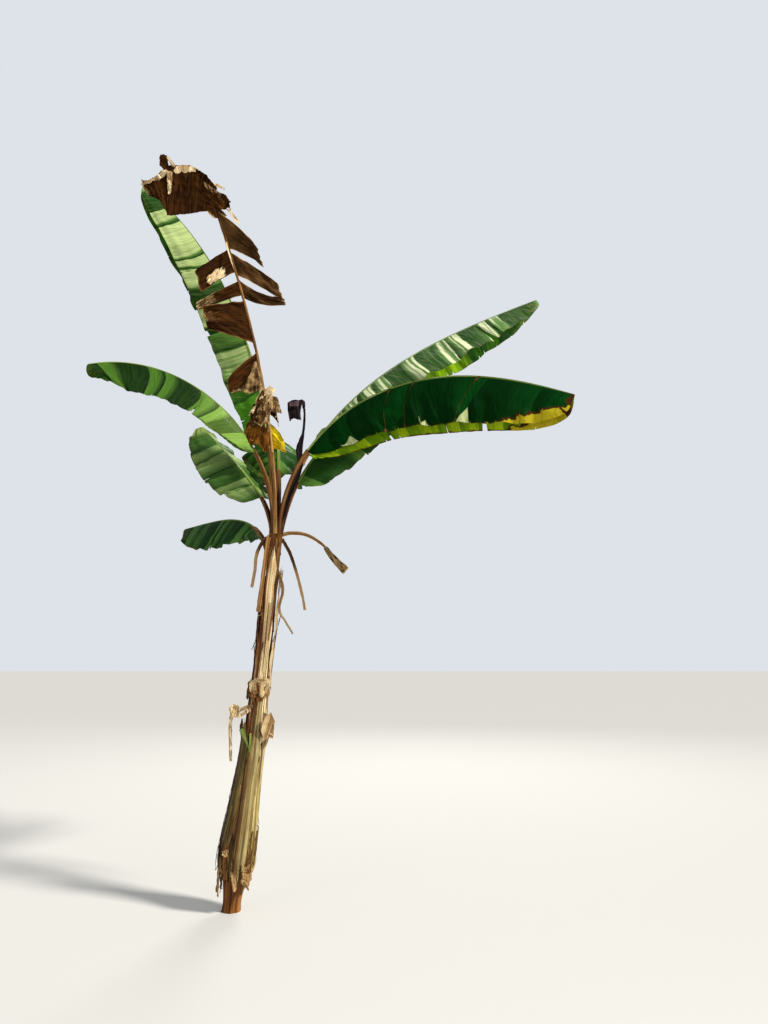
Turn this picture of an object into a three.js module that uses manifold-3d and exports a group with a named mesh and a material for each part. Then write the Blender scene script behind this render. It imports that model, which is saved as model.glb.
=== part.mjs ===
// Banana plant: a leaning pseudostem in dry sheaths, with a fan of broad leaves and one dead leaf.
// Millimetres, +Z up. The origin is the middle of the flat cut at ground level.
// The stem leans towards +X. Azimuths turn from +X towards +Y, and -90 is the front.
import * as THREE from "three";
import { mergeVertices } from "three/addons/utils/BufferGeometryUtils.js";
import Module from "manifold-3d";

const wasm = await Module();
wasm.setup();

// Driving dimensions of the pseudostem
const STEM_HEIGHT = 2400;
const STEM_LEAN = 0.095; // sideways run for each unit of height
const STEM_BOW = 12; // how far the middle stands out of the straight lean
const STEM_FOOT_RADIUS = 96;
const STEM_TOP_RADIUS = 38;
const STEM_TAPER = 1.6; // over 1 thins early
const WAIST = 0.3; // share by which the bare foot, under the dry sheaths, is slimmer than the taper
const WAIST_HEIGHT = 180; // height over which that fades to a third
const FLARE = 12; // extra radius at the ground
const FLARE_HEIGHT = 60; // height over which the flare fades to a third
const STEM_SIDES = 16;
const STEM_RINGS = 24;
const RING_CROWDING = 1.5; // over 1 sets the rings closer together near the ground

// Driving dimensions shared by the other pieces
const CLEARANCE = 0.3; // between pieces that touch
const BLADE_STEPS = 14;
const BLADE_SLIMNESS = 100; // length over thickness
const BLADE_SKEW = 0.8; // under 1 brings the widest place nearer the base
const BLADE_BLUNT = 0.42; // small makes the ends blunt
const BLADE_SWEEP = 0.16; // how far the margin runs ahead of the rib, as a share of the half width
const RIB_SHARE = 0.09; // of the half width, taken by the midrib on each side
const PETIOLE_STEPS = 7;
const PETIOLE_HALF = { width: [24, 17], depth: [17, 15] }; // at the foot and at the blade
const BLADE_COLUMNS = [-1, -0.56, -RIB_SHARE, 0, RIB_SHARE, 0.56, 1]; // from the left margin to the right one
const BLADE_WAVES = [
  { swing: 9, count: 5.3 }, // degrees, and how many along the blade
  { swing: 5, count: 11.7 },
];
const INNER_WAVE = 0.6; // of a wave's swing, at the rib
const KEEL = [16, 2]; // how far the midrib stands out below, at the base and at the tip
const SHEATH_THICKNESS = 7;
const SHEATH_COLUMNS = 5;
const SHEATH_ROWS = 10;
const SEAT = 0.5; // from the stem's corners to the flats of what lies on them
const FLAP_ROWS = 5;
const THIN_FLAP = 7;

// Across a petiole, in half widths and depths: rounded below, with a groove between two rims above.
const PETIOLE_SECTION = [
  [1, 0.1],
  [0.6, -0.8],
  [-0.6, -0.8],
  [-1, 0.1],
  [-0.6, 0.55],
  [0, 0.15],
  [0.6, 0.55],
];

const COLOURS = {
  stem: { color: 0x8a6a45, roughness: 0.85 },
  tanSheath: { color: 0xb4935f, roughness: 0.9 },
  darkSheath: { color: 0x6b4a30, roughness: 0.9 },
  petiole: { color: 0x9a6a3a, roughness: 0.6 },
  blade: { color: 0x3f7a2c, roughness: 0.45 },
  dead: { color: 0x6a4426, roughness: 0.9 },
  spear: { color: 0x3a2520, roughness: 0.8 },
};

// Each leaf starts at its foot, in or beside the top of the stem, and is cut off flush with it. Its
// rise above the horizon falls from the first angle to the second, early for a large bend. petiole
// and blade are lengths along it, fold gives the angles at which the left and right halves droop at
// the rib and at the margin, roll turns the blade about its rib towards its left, and tears are how
// many splits the left and right margins have.
const LEAVES = {
  left: {
    foot: { z: 2388, azimuth: 205, out: 24 },
    petiole: 590,
    blade: 1320,
    halfWidth: [305, 290],
    azimuth: [212.4, 222],
    rise: [92, -26],
    bend: 0.95,
    fold: { left: [42, 75], right: [-8, 30] },
    roll: 0,
    tears: [1, 1],
    seed: 11,
  },
  tall: {
    foot: { z: 2388, azimuth: 120, out: 20 },
    petiole: 640,
    blade: 2700,
    halfWidth: [276, 330],
    azimuth: [120.2, 179.1],
    rise: [81.5, 35],
    bend: 0.55,
    fold: { left: [62, 84], right: [68, 88] },
    roll: -4,
    tears: [1, 1],
    seed: 23,
  },
  right_high: {
    foot: { z: 2388, azimuth: 30, out: 22 },
    petiole: 610,
    blade: 2300,
    halfWidth: [310, 310],
    azimuth: [9.2, 18.3],
    rise: [84.7, 26.8],
    bend: 2.2,
    fold: { left: [50, 78], right: [30, 68] },
    roll: 0,
    tears: [1, 1],
    seed: 35,
  },
  right_low: {
    foot: { z: 2388, azimuth: -30, out: 26 },
    petiole: 610,
    blade: 1975,
    halfWidth: [345, 345],
    azimuth: [-19.8, -24.1],
    rise: [91.2, -24],
    bend: 1.56,
    fold: { left: [60, 86], right: [62, 86] },
    roll: 0,
    tears: [2, 2],
    seed: 47,
  },
  back_left: {
    foot: { z: 2388, azimuth: 165, out: 26 },
    petiole: 330,
    blade: 1080,
    halfWidth: [270, 270],
    azimuth: [131, 137],
    rise: [78, 38],
    bend: 5,
    fold: { left: [30, 60], right: [10, 40] },
    roll: 0,
    tears: [1, 1],
    seed: 59,
  },
  low_left: {
    foot: { z: 2170, azimuth: 158, out: 26 },
    petiole: 380,
    blade: 1010,
    halfWidth: [260, 260],
    azimuth: [128, 136],
    rise: [82, -2],
    bend: 3,
    fold: { left: [50, 80], right: [20, 50] },
    roll: 0,
    tears: [1, 1],
    seed: 61,
  },
  back: {
    foot: { z: 2388, azimuth: 90, out: 26 },
    petiole: 520,
    blade: 1800,
    halfWidth: [300, 300],
    azimuth: [96, 110],
    rise: [88, -26],
    bend: 1.3,
    fold: { left: [25, 60], right: [25, 60] },
    roll: 0,
    tears: [1, 1],
    seed: 73,
  },
  back_right: {
    foot: { z: 2250, azimuth: 50, out: 26 },
    petiole: 560,
    blade: 1560,
    halfWidth: [290, 290],
    azimuth: [54, 46],
    rise: [84, 26],
    bend: 1.8,
    fold: { left: [35, 70], right: [35, 70] },
    roll: 0,
    tears: [1, 1],
    seed: 85,
  },
};

// The dead leaf: its rib stands to the bend, and the tip hooks over beyond it.
const DEAD_RIB = {
  foot: { z: 2388, azimuth: 262, out: 24 },
  petiole: 560,
  blade: 1970,
  azimuth: [187.9, 197.8],
  rise: [89.5, 70],
  bend: 1.47,
  half: { width: [15, 10], depth: [14, 10] }, // of the bare rib, at the blade's base and at the bend
};
const DEAD_HOOK = { length: 630, azimuth: [196, 184], rise: [86, -45], bend: 1.5 };
// Both halves of the blade hang from the hook, down to about the same level. spill is how far their
// edges run out to the right where the hook begins.
const HOOD = { level: 4705, tipLevel: 4860, near: 75, far: 85, spill: 115, steps: 7 };
// A dark curl that stands on the hook, from its third last station
const HOOD_CURL = [[24, 0, -8], [32, 0, 24], [26, 4, 62], [14, 6, 98], [-14, 6, 106]];
const HOOD_CURL_HALF = [[9, 8], [12, 9], [25, 10], [24, 9], [8, 6]];
// Strips of its torn blade. from and to are lengths along the rib, narrow is the far width over the near one.
const DEAD_FLAPS = [
  { from: 2385, to: 2512, azimuth: -20, reach: 165, fall: [-58, 72], narrow: 0.75 },
  { from: 2100, to: 2400, azimuth: -8, reach: 365, fall: [30, 48], narrow: 0.42 },
  { from: 1895, to: 2075, azimuth: 14, reach: 395, fall: [20, 34], narrow: 0.6 },
  { from: 1720, to: 1866, azimuth: -6, reach: 360, fall: [42, 6], narrow: 0.3 },
  { from: 1920, to: 2100, azimuth: 208, reach: 330, fall: [38, 46], narrow: 0.9 },
  { from: 1742, to: 1850, azimuth: 206, reach: 370, fall: [30, 38], narrow: 0.5 },
  { from: 1370, to: 1696, azimuth: 208, reach: 330, fall: [0, 10], narrow: 0.5 },
  { from: 1026, to: 1305, azimuth: 210, reach: 285, fall: [22, 42], narrow: 0.38 },
  { from: 800, to: 1040, azimuth: 215, reach: 190, fall: [35, 84], narrow: 0.8 },
  { from: 850, to: 1040, azimuth: -10, reach: 150, fall: [20, 80], narrow: 0.8 },
  { from: 600, to: 745, azimuth: 222, reach: 180, fall: [-14, 4], narrow: 0.75 },
  { from: 600, to: 790, azimuth: -8, reach: 110, fall: [20, 50], narrow: 0.5 },
];

// Dry sheaths round the stem. centre and span are azimuths at the foot, point is the share of the
// span left at the top, lift is the space under it at its foot and top. bulge adds to it between,
// most near the top for a large crest.
const SHEATHS = {
  sheath_low_left: {
    from: 200, to: 1190, centre: 205, span: 150, point: 0.35, lift: [0, 16], bulge: 34, crest: 0.45,
  },
  sheath_low_right: {
    from: 185, to: 1120, centre: 0, span: 116, point: 0.4, lift: [0, 16], bulge: 22, crest: 0.5,
  },
  sheath_low_back: {
    from: 190, to: 1040, centre: 101, span: 56, point: 0.6, lift: [0, 14], bulge: 20, crest: 0.5,
  },
  sheath_low_front: {
    from: 200, to: 980, centre: 288, span: 90, point: 0.4, lift: [11.8, 38], bulge: 38, crest: 0.44,
  },
  sheath_high_left: {
    from: 1000, to: 2330, centre: 180, span: 88, point: 0.4, lift: [0, 3], bulge: 20, crest: 3,
  },
  sheath_high_right: {
    from: 1000, to: 2180, centre: 2, span: 84, point: 0.35, lift: [0, 6], bulge: 16, crest: 2,
  },
  sheath_high_back: {
    from: 930, to: 2250, centre: 92, span: 84, point: 0.5, lift: [0, 4], bulge: 18, crest: 3,
  },
  sheath_high_front: {
    from: 1010, to: 2320, centre: 272, span: 90, point: 0.3, lift: [0, 10], bulge: 26, crest: 3,
  },
};

// Dry pieces that hang from the stem or stand on it, each along a curve through its points. half holds
// its half width and half depth at places spread evenly along it, and flat ones are strips.
const STRANDS = {
  old_petiole_front: {
    look: "dead",
    points: [[208, -16, 2374], [180, -60, 2348], [157, -84, 2106], [131, -96, 1860]],
    half: [[15, 9], [13, 6]],
  },
  old_petiole_left: {
    look: "darkSheath",
    points: [[206, -8, 2366], [150, -24, 2350], [101, -34, 2250], [92, -38, 2135], [75, -40, 2024]],
    half: [[13, 8], [10, 5]],
  },
  old_petiole_right: {
    look: "darkSheath",
    points: [[262, 24, 2360], [330, 20, 2235], [399, 20, 2012], [428, 20, 1877]],
    half: [[12, 8], [8, 8]],
  },
  strip_right: {
    look: "tanSheath",
    points: [[236, -18, 2152], [282, -34, 2015], [262, -38, 1880], [307, -30, 1795], [355, -24, 1716]],
    half: [[12, 4], [5, 3]],
  },
  ribbon: {
    look: "darkSheath",
    points: [[118, -52, 1256], [56, -92, 1240], [-12, -90, 1200], [-30, -86, 1130], [-24, -86, 1030],
      [-17, -86, 913]],
    half: [[12, 4], [8, 4]],
  },
  drooping_rib: {
    look: "dead",
    points: [[258, 4, 2386], [330, -2, 2398], [430, -6, 2385], [520, -8, 2335], [560, -8, 2300]],
    half: [[14, 9], [8, 6]],
  },
  drooping_blade: {
    look: "tanSheath",
    points: [[561, -8, 2299], [600, -10, 2245], [650, -14, 2190], [705, -16, 2135]],
    half: [[14, 5], [30, 5]],
  },
  spear: {
    look: "spear",
    points: [[240, -6, 2388], [262, -16, 2486], [315, -20, 2660], [380, -20, 2837], [372, -20, 2979],
      [396, -20, 3102], [404, -20, 3232], [394, -20, 3310]],
    half: [[11, 9], [12, 9], [12, 9], [13, 10], [25, 16], [9, 8], [7, 6], [9, 6]],
  },
};
const SPEAR_CURL = { width: 105, reach: 150 }; // the end of the spear leaf, folded over to the left
// A sheath's edge that stands off
const PEEL = { from: 1050, to: 1215, azimuth: -42, towards: -12, reach: 95 };
// A crumpled rag round the stem; stand is how far its outer face stands off, ragged how uneven its ends are.
const COLLAR = { from: 1285, to: 1430, centre: 268, span: 130, stand: [8, 26], ragged: 18, space: 11 };

const UP = new THREE.Vector3(0, 0, 1);
const radians = THREE.MathUtils.degToRad;
const mix = (a, b, t) => a + (b - a) * t;
const evenly = (from, to, count) => Array.from({ length: count + 1 }, (_, i) => mix(from, to, i / count));

// The value at share t of the way, from a list spread evenly over it.
function spread(values, t) {
  const place = t * (values.length - 1);
  const i = Math.min(Math.floor(place), values.length - 2);
  return mix(values[i], values[i + 1], place - i);
}

// Whole numbers under 2^32 in a fixed order, so that the same seed gives the same leaf.
function seeded(seed) {
  let state = seed;
  return () => {
    state = (state * 1664525 + 1013904223) % 4294967296;
    return state / 4294967296;
  };
}

// The unit vector at an azimuth and a rise above the horizon, both in degrees.
function heading(azimuth, rise) {
  const a = radians(azimuth);
  const r = radians(rise);
  return new THREE.Vector3(Math.cos(r) * Math.cos(a), Math.cos(r) * Math.sin(a), Math.sin(r));
}

function stemAxis(z) {
  const bow = STEM_BOW * Math.sin(Math.PI * Math.min(z / STEM_HEIGHT, 1)) ** 2;
  return new THREE.Vector3(STEM_LEAN * z + bow, 0, z);
}

function stemRadius(z) {
  const left = Math.max(0, 1 - z / STEM_HEIGHT);
  const taper = STEM_TOP_RADIUS + (STEM_FOOT_RADIUS - STEM_TOP_RADIUS) * left ** STEM_TAPER;
  const waist = 1 - WAIST * Math.exp(-((z / WAIST_HEIGHT) ** 2));
  return taper * waist + FLARE * Math.exp(-z / FLARE_HEIGHT);
}

function aroundStem(z, azimuth, radius) {
  return stemAxis(z).addScaledVector(heading(azimuth, 0), radius);
}

function geometryFrom(points, faces) {
  const geometry = new THREE.BufferGeometry();
  const numbers = points.flatMap((p) => p.toArray());
  geometry.setAttribute("position", new THREE.Float32BufferAttribute(numbers, 3));
  geometry.setIndex(faces);
  geometry.computeVertexNormals();
  return geometry;
}

// A closed tube through rings of points, each ring anticlockwise as seen from its far end.
function tube(rings) {
  const count = rings[0].length;
  const points = rings.flat();
  const faces = [];
  for (let r = 0; r + 1 < rings.length; r++)
    for (let i = 0; i < count; i++) {
      const a = r * count + i;
      const b = r * count + ((i + 1) % count);
      faces.push(a, b, b + count, a, b + count, a + count);
    }
  [0, rings.length - 1].forEach((r, far) => {
    const middle = new THREE.Vector3();
    rings[r].forEach((p) => middle.addScaledVector(p, 1 / count));
    const hub = points.push(middle) - 1;
    for (let i = 0; i < count; i++) {
      const a = r * count + i;
      const b = r * count + ((i + 1) % count);
      faces.push(...(far ? [a, b, hub] : [b, a, hub]));
    }
  });
  return geometryFrom(points, faces);
}

// A closed thick sheet between two grids of points, [along][across], with the upper one outside.
function sheet(upper, lower) {
  const across = upper[0].length;
  const end = upper.length - 1;
  const edge = across - 1;
  const points = [...upper.flat(), ...lower.flat()];
  const top = (i, j) => i * across + j;
  const under = (i, j) => upper.length * across + i * across + j;
  const faces = [];
  const quad = (a, b, c, d) => faces.push(a, b, c, a, c, d);
  for (let i = 0; i < end; i++) {
    for (let j = 0; j < edge; j++) {
      quad(top(i, j), top(i, j + 1), top(i + 1, j + 1), top(i + 1, j));
      quad(under(i, j), under(i + 1, j), under(i + 1, j + 1), under(i, j + 1));
    }
    quad(top(i, 0), top(i + 1, 0), under(i + 1, 0), under(i, 0));
    quad(top(i + 1, edge), top(i, edge), under(i, edge), under(i + 1, edge));
  }
  for (let j = 0; j < edge; j++) {
    quad(top(0, j + 1), top(0, j), under(0, j), under(0, j + 1));
    quad(top(end, j), top(end, j + 1), under(end, j + 1), under(end, j));
  }
  return geometryFrom(points, faces);
}

// A sheet of the given thickness about one grid of points.
function thicken(grid, thickness) {
  const shift = (amount) =>
    grid.map((row, i) =>
      row.map((p, j) => {
        const along = grid[Math.min(i + 1, grid.length - 1)][j].clone().sub(grid[Math.max(i - 1, 0)][j]);
        const across = row[Math.min(j + 1, row.length - 1)].clone().sub(row[Math.max(j - 1, 0)]);
        return p.clone().addScaledVector(across.cross(along).normalize(), amount);
      }),
    );
  return sheet(shift(thickness / 2), shift(-thickness / 2));
}

function solidFrom(geometry) {
  const bare = geometry.clone();
  bare.deleteAttribute("normal");
  bare.deleteAttribute("uv");
  const merged = mergeVertices(bare, 1e-3);
  return new wasm.Manifold(
    new wasm.Mesh({
      numProp: 3,
      vertProperties: merged.attributes.position.array,
      triVerts: new Uint32Array(merged.index.array),
    }),
  );
}

// The largest single body of a solid, as a geometry.
function geometryOf(solid) {
  const bodies = solid.decompose().sort((a, b) => b.volume() - a.volume());
  const mesh = bodies[0].getMesh();
  const geometry = new THREE.BufferGeometry();
  geometry.setAttribute("position", new THREE.BufferAttribute(new Float32Array(mesh.vertProperties), 3));
  geometry.setIndex([...mesh.triVerts]);
  geometry.computeVertexNormals();
  return geometry;
}

const joined = (geometries) => geometryOf(wasm.Manifold.union(geometries.map(solidFrom)));
const cutClear = (geometry, others) =>
  geometryOf(others.reduce((solid, other) => solid.subtract(solidFrom(other)), solidFrom(geometry)));

// Stations along a bent line at the given shares of its length: each has a point, a direction,
// a side (to the right of the way it heads) and a normal.
function bentLine(start, length, line, places) {
  const riseAt = (s) => line.rise[1] + (line.rise[0] - line.rise[1]) * Math.max(0, 1 - s) ** line.bend;
  const azimuthAt = (s) => mix(line.azimuth[0], line.azimuth[1], s);
  const finest = 1 / 240;
  const point = start.clone();
  let done = 0;
  return places.map((s) => {
    const steps = Math.max(1, Math.ceil((s - done) / finest));
    const step = (s - done) / steps;
    for (let k = 0; k < steps; k++) {
      const middle = done + (k + 0.5) * step;
      point.addScaledVector(heading(azimuthAt(middle), riseAt(middle)), step * length);
    }
    done = s;
    const direction = heading(azimuthAt(s), riseAt(s));
    const level = heading(azimuthAt(s) - 90, 0);
    const plain = new THREE.Vector3().crossVectors(level, direction);
    const roll = radians(line.roll ?? 0);
    const turned = (a, b, sign) =>
      a.clone().multiplyScalar(Math.cos(roll)).addScaledVector(b, sign * Math.sin(roll));
    const side = turned(level, plain, 1);
    return { s, point: point.clone(), direction, side, normal: turned(plain, level, -1) };
  });
}

const footOf = ({ foot }) => aroundStem(foot.z, foot.azimuth, foot.out);

// A grooved limb along stations, with its half width and depth given for each share of the way.
function limb(stations, halfWidth, depth) {
  const first = stations[0].s;
  const reach = stations.at(-1).s - first;
  return tube(
    stations.map((at) => {
      const t = (at.s - first) / reach;
      return PETIOLE_SECTION.map(([x, y]) =>
        at.point
          .clone()
          .addScaledVector(at.side, x * halfWidth(t))
          .addScaledVector(at.normal, y * depth(t)),
      );
    }),
  );
}

// A petiole from its foot to its blade, wide at the foot and slimmer at the blade.
function petiole(leaf, spare = 0) {
  const length = leaf.petiole + leaf.blade;
  const end = (leaf.petiole - CLEARANCE) / length;
  const stations = bentLine(footOf(leaf), length, leaf, evenly(0, end, PETIOLE_STEPS));
  return limb(
    stations,
    (t) => mix(...PETIOLE_HALF.width, t) + spare,
    (t) => mix(...PETIOLE_HALF.depth, t) + spare,
  );
}

// A dry strand along a smooth curve through its points, with its flat side to the front.
function strand({ points, half }, spare = 0) {
  const front = heading(-90, 0);
  const curve = new THREE.CatmullRomCurve3(points.map((p) => new THREE.Vector3(...p)));
  const stations = evenly(0, 1, 2 * (points.length - 1)).map((s) => {
    const direction = curve.getTangent(s);
    const side = direction.clone().cross(front).normalize();
    return { s, point: curve.getPoint(s), direction, side, normal: side.clone().cross(direction) };
  });
  return limb(
    stations,
    (t) => spread(half.map(([width]) => width), t) + spare,
    (t) => spread(half.map(([, depth]) => depth), t) + spare,
  );
}

// Where a margin is split: the share along the blade, how deep, and half the gap's length.
function splits(count, random) {
  return Array.from({ length: count }, (_, i) => ({
    at: mix(0.14, 0.9, (i + 0.2 + 0.6 * random()) / count),
    deep: mix(0.55, 0.9, random()),
    gap: mix(0.006, 0.012, random()),
  }));
}

// A blade with its midrib: two halves that droop from the rib in a curve, with waves along them.
function blade(leaf) {
  const length = leaf.petiole + leaf.blade;
  const random = seeded(leaf.seed);
  const tears = { left: splits(leaf.tears[0], random), right: splits(leaf.tears[1], random) };
  const phases = BLADE_WAVES.map(() => random());
  const begin = leaf.petiole / length;
  const marks = [...tears.left, ...tears.right].flatMap((t) => [t.at - t.gap, t.at, t.at + t.gap]);
  const shares = [...evenly(0, 1, BLADE_STEPS), ...marks].sort((a, b) => a - b);
  const stations = bentLine(footOf(leaf), length, leaf, shares.map((b) => mix(begin, 1, b)));
  const thickness = leaf.blade / BLADE_SLIMNESS;
  const grids = [0, 1].map((below) =>
    stations.map((at, i) => {
      const b = shares[i];
      const outline = Math.sin(Math.PI * Math.min(Math.max(b, 0.004), 0.999) ** BLADE_SKEW) ** BLADE_BLUNT;
      return BLADE_COLUMNS.map((u) => {
        const left = u < 0;
        const own = tears[left ? "left" : "right"];
        const torn = own.map((t) => t.deep * Math.max(0, 1 - Math.abs(b - t.at) / t.gap));
        const width = leaf.halfWidth[left ? 0 : 1] * outline * (1 - Math.max(0, ...torn));
        const t = Math.abs(u);
        const swings = BLADE_WAVES.map(
          (w, k) => w.swing * Math.sin(2 * Math.PI * (w.count * b + phases[k] + (left ? 0.3 : 0))),
        );
        const wave = swings[0] + swings[1];
        const fold = leaf.fold[left ? "left" : "right"];
        const inner = radians(fold[0] + wave * INNER_WAVE);
        const outer = radians(fold[1] + wave);
        const angle = mix(inner, outer, t);
        const out = (width * (Math.sin(angle) - Math.sin(inner))) / (outer - inner);
        const drop = (width * (Math.cos(inner) - Math.cos(angle))) / (outer - inner);
        const hand = left ? -1 : 1;
        const skin = (below ? -1 : 1) * (thickness / 2);
        const keel = below && u === 0 ? mix(...KEEL, b) : 0;
        return at.point
          .clone()
          .addScaledVector(at.side, hand * (out + skin * Math.sin(angle) * (t > RIB_SHARE ? 1 : 0)))
          .addScaledVector(at.normal, -drop - keel + skin * (t > RIB_SHARE ? Math.cos(angle) : 1))
          .addScaledVector(at.direction, width * BLADE_SWEEP * t * t);
      });
    }),
  );
  return sheet(...grids);
}

// A torn strip of blade: it leaves the rib along its root and droops as it reaches out.
function flap(stations, shape, thickness = THIN_FLAP) {
  const rows = evenly(0, 1, FLAP_ROWS);
  const middle = new THREE.Vector3();
  stations.forEach((at) => middle.addScaledVector(at.point, 1 / stations.length));
  const run = new THREE.Vector3();
  const grid = rows.map((t, i) => {
    if (i > 0) run.addScaledVector(heading(shape.azimuth, -mix(...shape.fall, t)), shape.reach / FLAP_ROWS);
    return stations.map((at, j) => {
      const root = at.point.clone().sub(middle).multiplyScalar(mix(1, shape.narrow, t));
      const curl = 10 * Math.sin(2.4 * j + 3.1 * t + shape.from) * t;
      return middle.clone().add(root).add(run).addScaledVector(heading(shape.azimuth - 90, 0), curl);
    });
  });
  return thicken(grid, thickness);
}

function deadRib(spare = 0) {
  const length = DEAD_RIB.petiole + DEAD_RIB.blade;
  const begin = DEAD_RIB.petiole / length;
  return limb(
    bentLine(footOf(DEAD_RIB), length, DEAD_RIB, evenly(begin, 1 + spare / length, 12)),
    (t) => mix(...DEAD_RIB.half.width, t) + spare,
    (t) => mix(...DEAD_RIB.half.depth, t) + spare,
  );
}

function deadLeaf() {
  const length = DEAD_RIB.petiole + DEAD_RIB.blade;
  const flaps = DEAD_FLAPS.map((shape) => {
    const places = evenly(shape.from / length, shape.to / length, 3);
    return flap(bentLine(footOf(DEAD_RIB), length, DEAD_RIB, places), shape, DEAD_RIB.blade / BLADE_SLIMNESS);
  });
  return joined([deadRib(), ...flaps]);
}

// The dead leaf's tip: its rib hooks over, and both halves hang down from it like a hood.
function deadTip() {
  const length = DEAD_RIB.petiole + DEAD_RIB.blade;
  const [, end] = bentLine(footOf(DEAD_RIB), length, DEAD_RIB, [0, 1]);
  const start = end.point.clone().addScaledVector(end.direction, CLEARANCE);
  const stations = bentLine(start, DEAD_HOOK.length, DEAD_HOOK, evenly(0, 1, HOOD.steps));
  const grid = stations.map((at, i) =>
    [-1, -0.7, -0.3, 0, 0.3, 0.7, 1].map((u) => {
      const level = mix(HOOD.level, HOOD.tipLevel, at.s ** 3) + 12 * Math.sin(2.3 * i + 2 * u);
      const out = u < 0 ? HOOD.near : HOOD.far;
      return at.point
        .clone()
        .addScaledVector(heading(0, 0), HOOD.spill * (1 - at.s) ** 2 * u * u)
        .addScaledVector(heading(90, 0), out * Math.sin((Math.PI / 2) * u) + 8 * Math.sin(1.7 * i) * u)
        .addScaledVector(UP, -u * u * (at.point.z - level));
    }),
  );
  const root = stations.at(-3).point;
  const points = HOOD_CURL.map(([x, y, z]) => [root.x + x, root.y + y, root.z + z]);
  const curl = strand({ points, half: HOOD_CURL_HALF });
  return cutClear(joined([thicken(grid, THIN_FLAP), curl]), [deadRib(CLEARANCE)]);
}

function pseudostem(spare = 0) {
  const heights = evenly(0, 1, STEM_RINGS).map((t) => (STEM_HEIGHT + spare) * t ** RING_CROWDING);
  const sides = evenly(0, 360, STEM_SIDES).slice(1);
  return tube(heights.map((z) => sides.map((azimuth) => aroundStem(z, azimuth, stemRadius(z) + spare))));
}

// A dry sheath: a curved strip against the stem. Its inner flats, not its corners, clear the stem.
function sheath({ from, to, centre, span, point, lift, bulge, crest }, spare = 0) {
  const grids = [SHEATH_THICKNESS + spare, -spare].map((skin) =>
    evenly(0, 1, SHEATH_ROWS).map((t) => {
      const z = mix(from - spare, to + spare, t);
      const width = span * mix(1, point, t ** 2.5) + 2 * THREE.MathUtils.radToDeg(spare / stemRadius(z));
      const under = mix(...lift, t ** 2) + bulge * Math.sin(Math.PI * t ** crest) ** 2;
      const flats = Math.cos(radians(width / SHEATH_COLUMNS / 2));
      const radius = (stemRadius(z) + SEAT + under) / flats + skin;
      return evenly(-0.5, 0.5, SHEATH_COLUMNS).map((a) => aroundStem(z, centre + a * width, radius));
    }),
  );
  return sheet(...grids);
}

// The crumpled rag: a short band on the upper sheaths with a wavy outer face and ragged ends.
function collar() {
  const { from, to, centre, span, stand, space } = COLLAR;
  const grids = [1, 0].map((outside) =>
    evenly(0, 1, 4).map((t) =>
      evenly(0, 1, 8).map((a, j) => {
        const ragged = COLLAR.ragged * Math.sin(2.1 * j) * (t - 0.5);
        const crumple = 0.5 + 0.5 * Math.sin(1.9 * j + 4 * t);
        const radius = stemRadius(mix(from, to, t)) + space + outside * mix(...stand, crumple);
        return aroundStem(mix(from, to, t) + ragged, centre + (a - 0.5) * span, radius);
      }),
    ),
  );
  return sheet(...grids);
}

// The edge of a sheath that has come away: its root lies up the stem and it stands out to the right.
function peel() {
  const stations = evenly(PEEL.from, PEEL.to, 3).map((z) => ({
    point: aroundStem(z, PEEL.azimuth, stemRadius(z) + 0.5 * SHEATH_THICKNESS),
  }));
  return flap(stations, { from: 0, azimuth: PEEL.towards, reach: PEEL.reach, fall: [-5, 35], narrow: 0.7 });
}

// The end of the spear leaf: it folds over to the left and hangs down.
function spearCurl() {
  const tip = new THREE.Vector3(...STRANDS.spear.points.at(-1)).add(new THREE.Vector3(-6, 0, 12));
  const stations = evenly(0, 1, 3).map((t) => ({
    point: tip.clone().add(new THREE.Vector3(-SPEAR_CURL.width * t, 0, 22 * Math.sin(Math.PI * t))),
  }));
  return flap(stations, { from: 1, azimuth: -95, reach: SPEAR_CURL.reach, fall: [70, 92], narrow: 0.8 });
}

const parts = [];
const add = (name, look, geometry) => parts.push({ name, look, geometry });

add("pseudostem", "stem", pseudostem());
const carriers = [pseudostem(CLEARANCE)];
for (const [name, shape] of Object.entries(SHEATHS)) {
  add(name, name.includes("left") ? "darkSheath" : "tanSheath", sheath(shape));
  carriers.push(sheath(shape, CLEARANCE));
}
add("collar_rag", "tanSheath", cutClear(collar(), carriers));
add("peeling_edge", "tanSheath", cutClear(peel(), carriers));

// Each limb in the crown is cut clear of those before it.
const crown = [...carriers];
for (const [name, leaf] of [["dead", DEAD_RIB], ...Object.entries(LEAVES)]) {
  add(`petiole_${name}`, "petiole", cutClear(petiole(leaf), crown));
  crown.push(petiole(leaf, CLEARANCE));
}
for (const [name, shape] of Object.entries(STRANDS)) {
  add(name, shape.look, cutClear(strand(shape), crown));
  crown.push(strand(shape, CLEARANCE));
}
add("spear_curl", "spear", cutClear(spearCurl(), [strand(STRANDS.spear, CLEARANCE)]));

for (const [name, leaf] of Object.entries(LEAVES)) add(`leaf_${name}`, "blade", blade(leaf));
add("leaf_dead", "dead", deadLeaf());
add("leaf_dead_tip", "dead", deadTip());

const plant = new THREE.Group();
for (const { name, look, geometry } of parts) {
  const mesh = new THREE.Mesh(geometry, new THREE.MeshStandardMaterial({ ...COLOURS[look], metalness: 0 }));
  mesh.name = name;
  plant.add(mesh);
}

export default plant;
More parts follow.
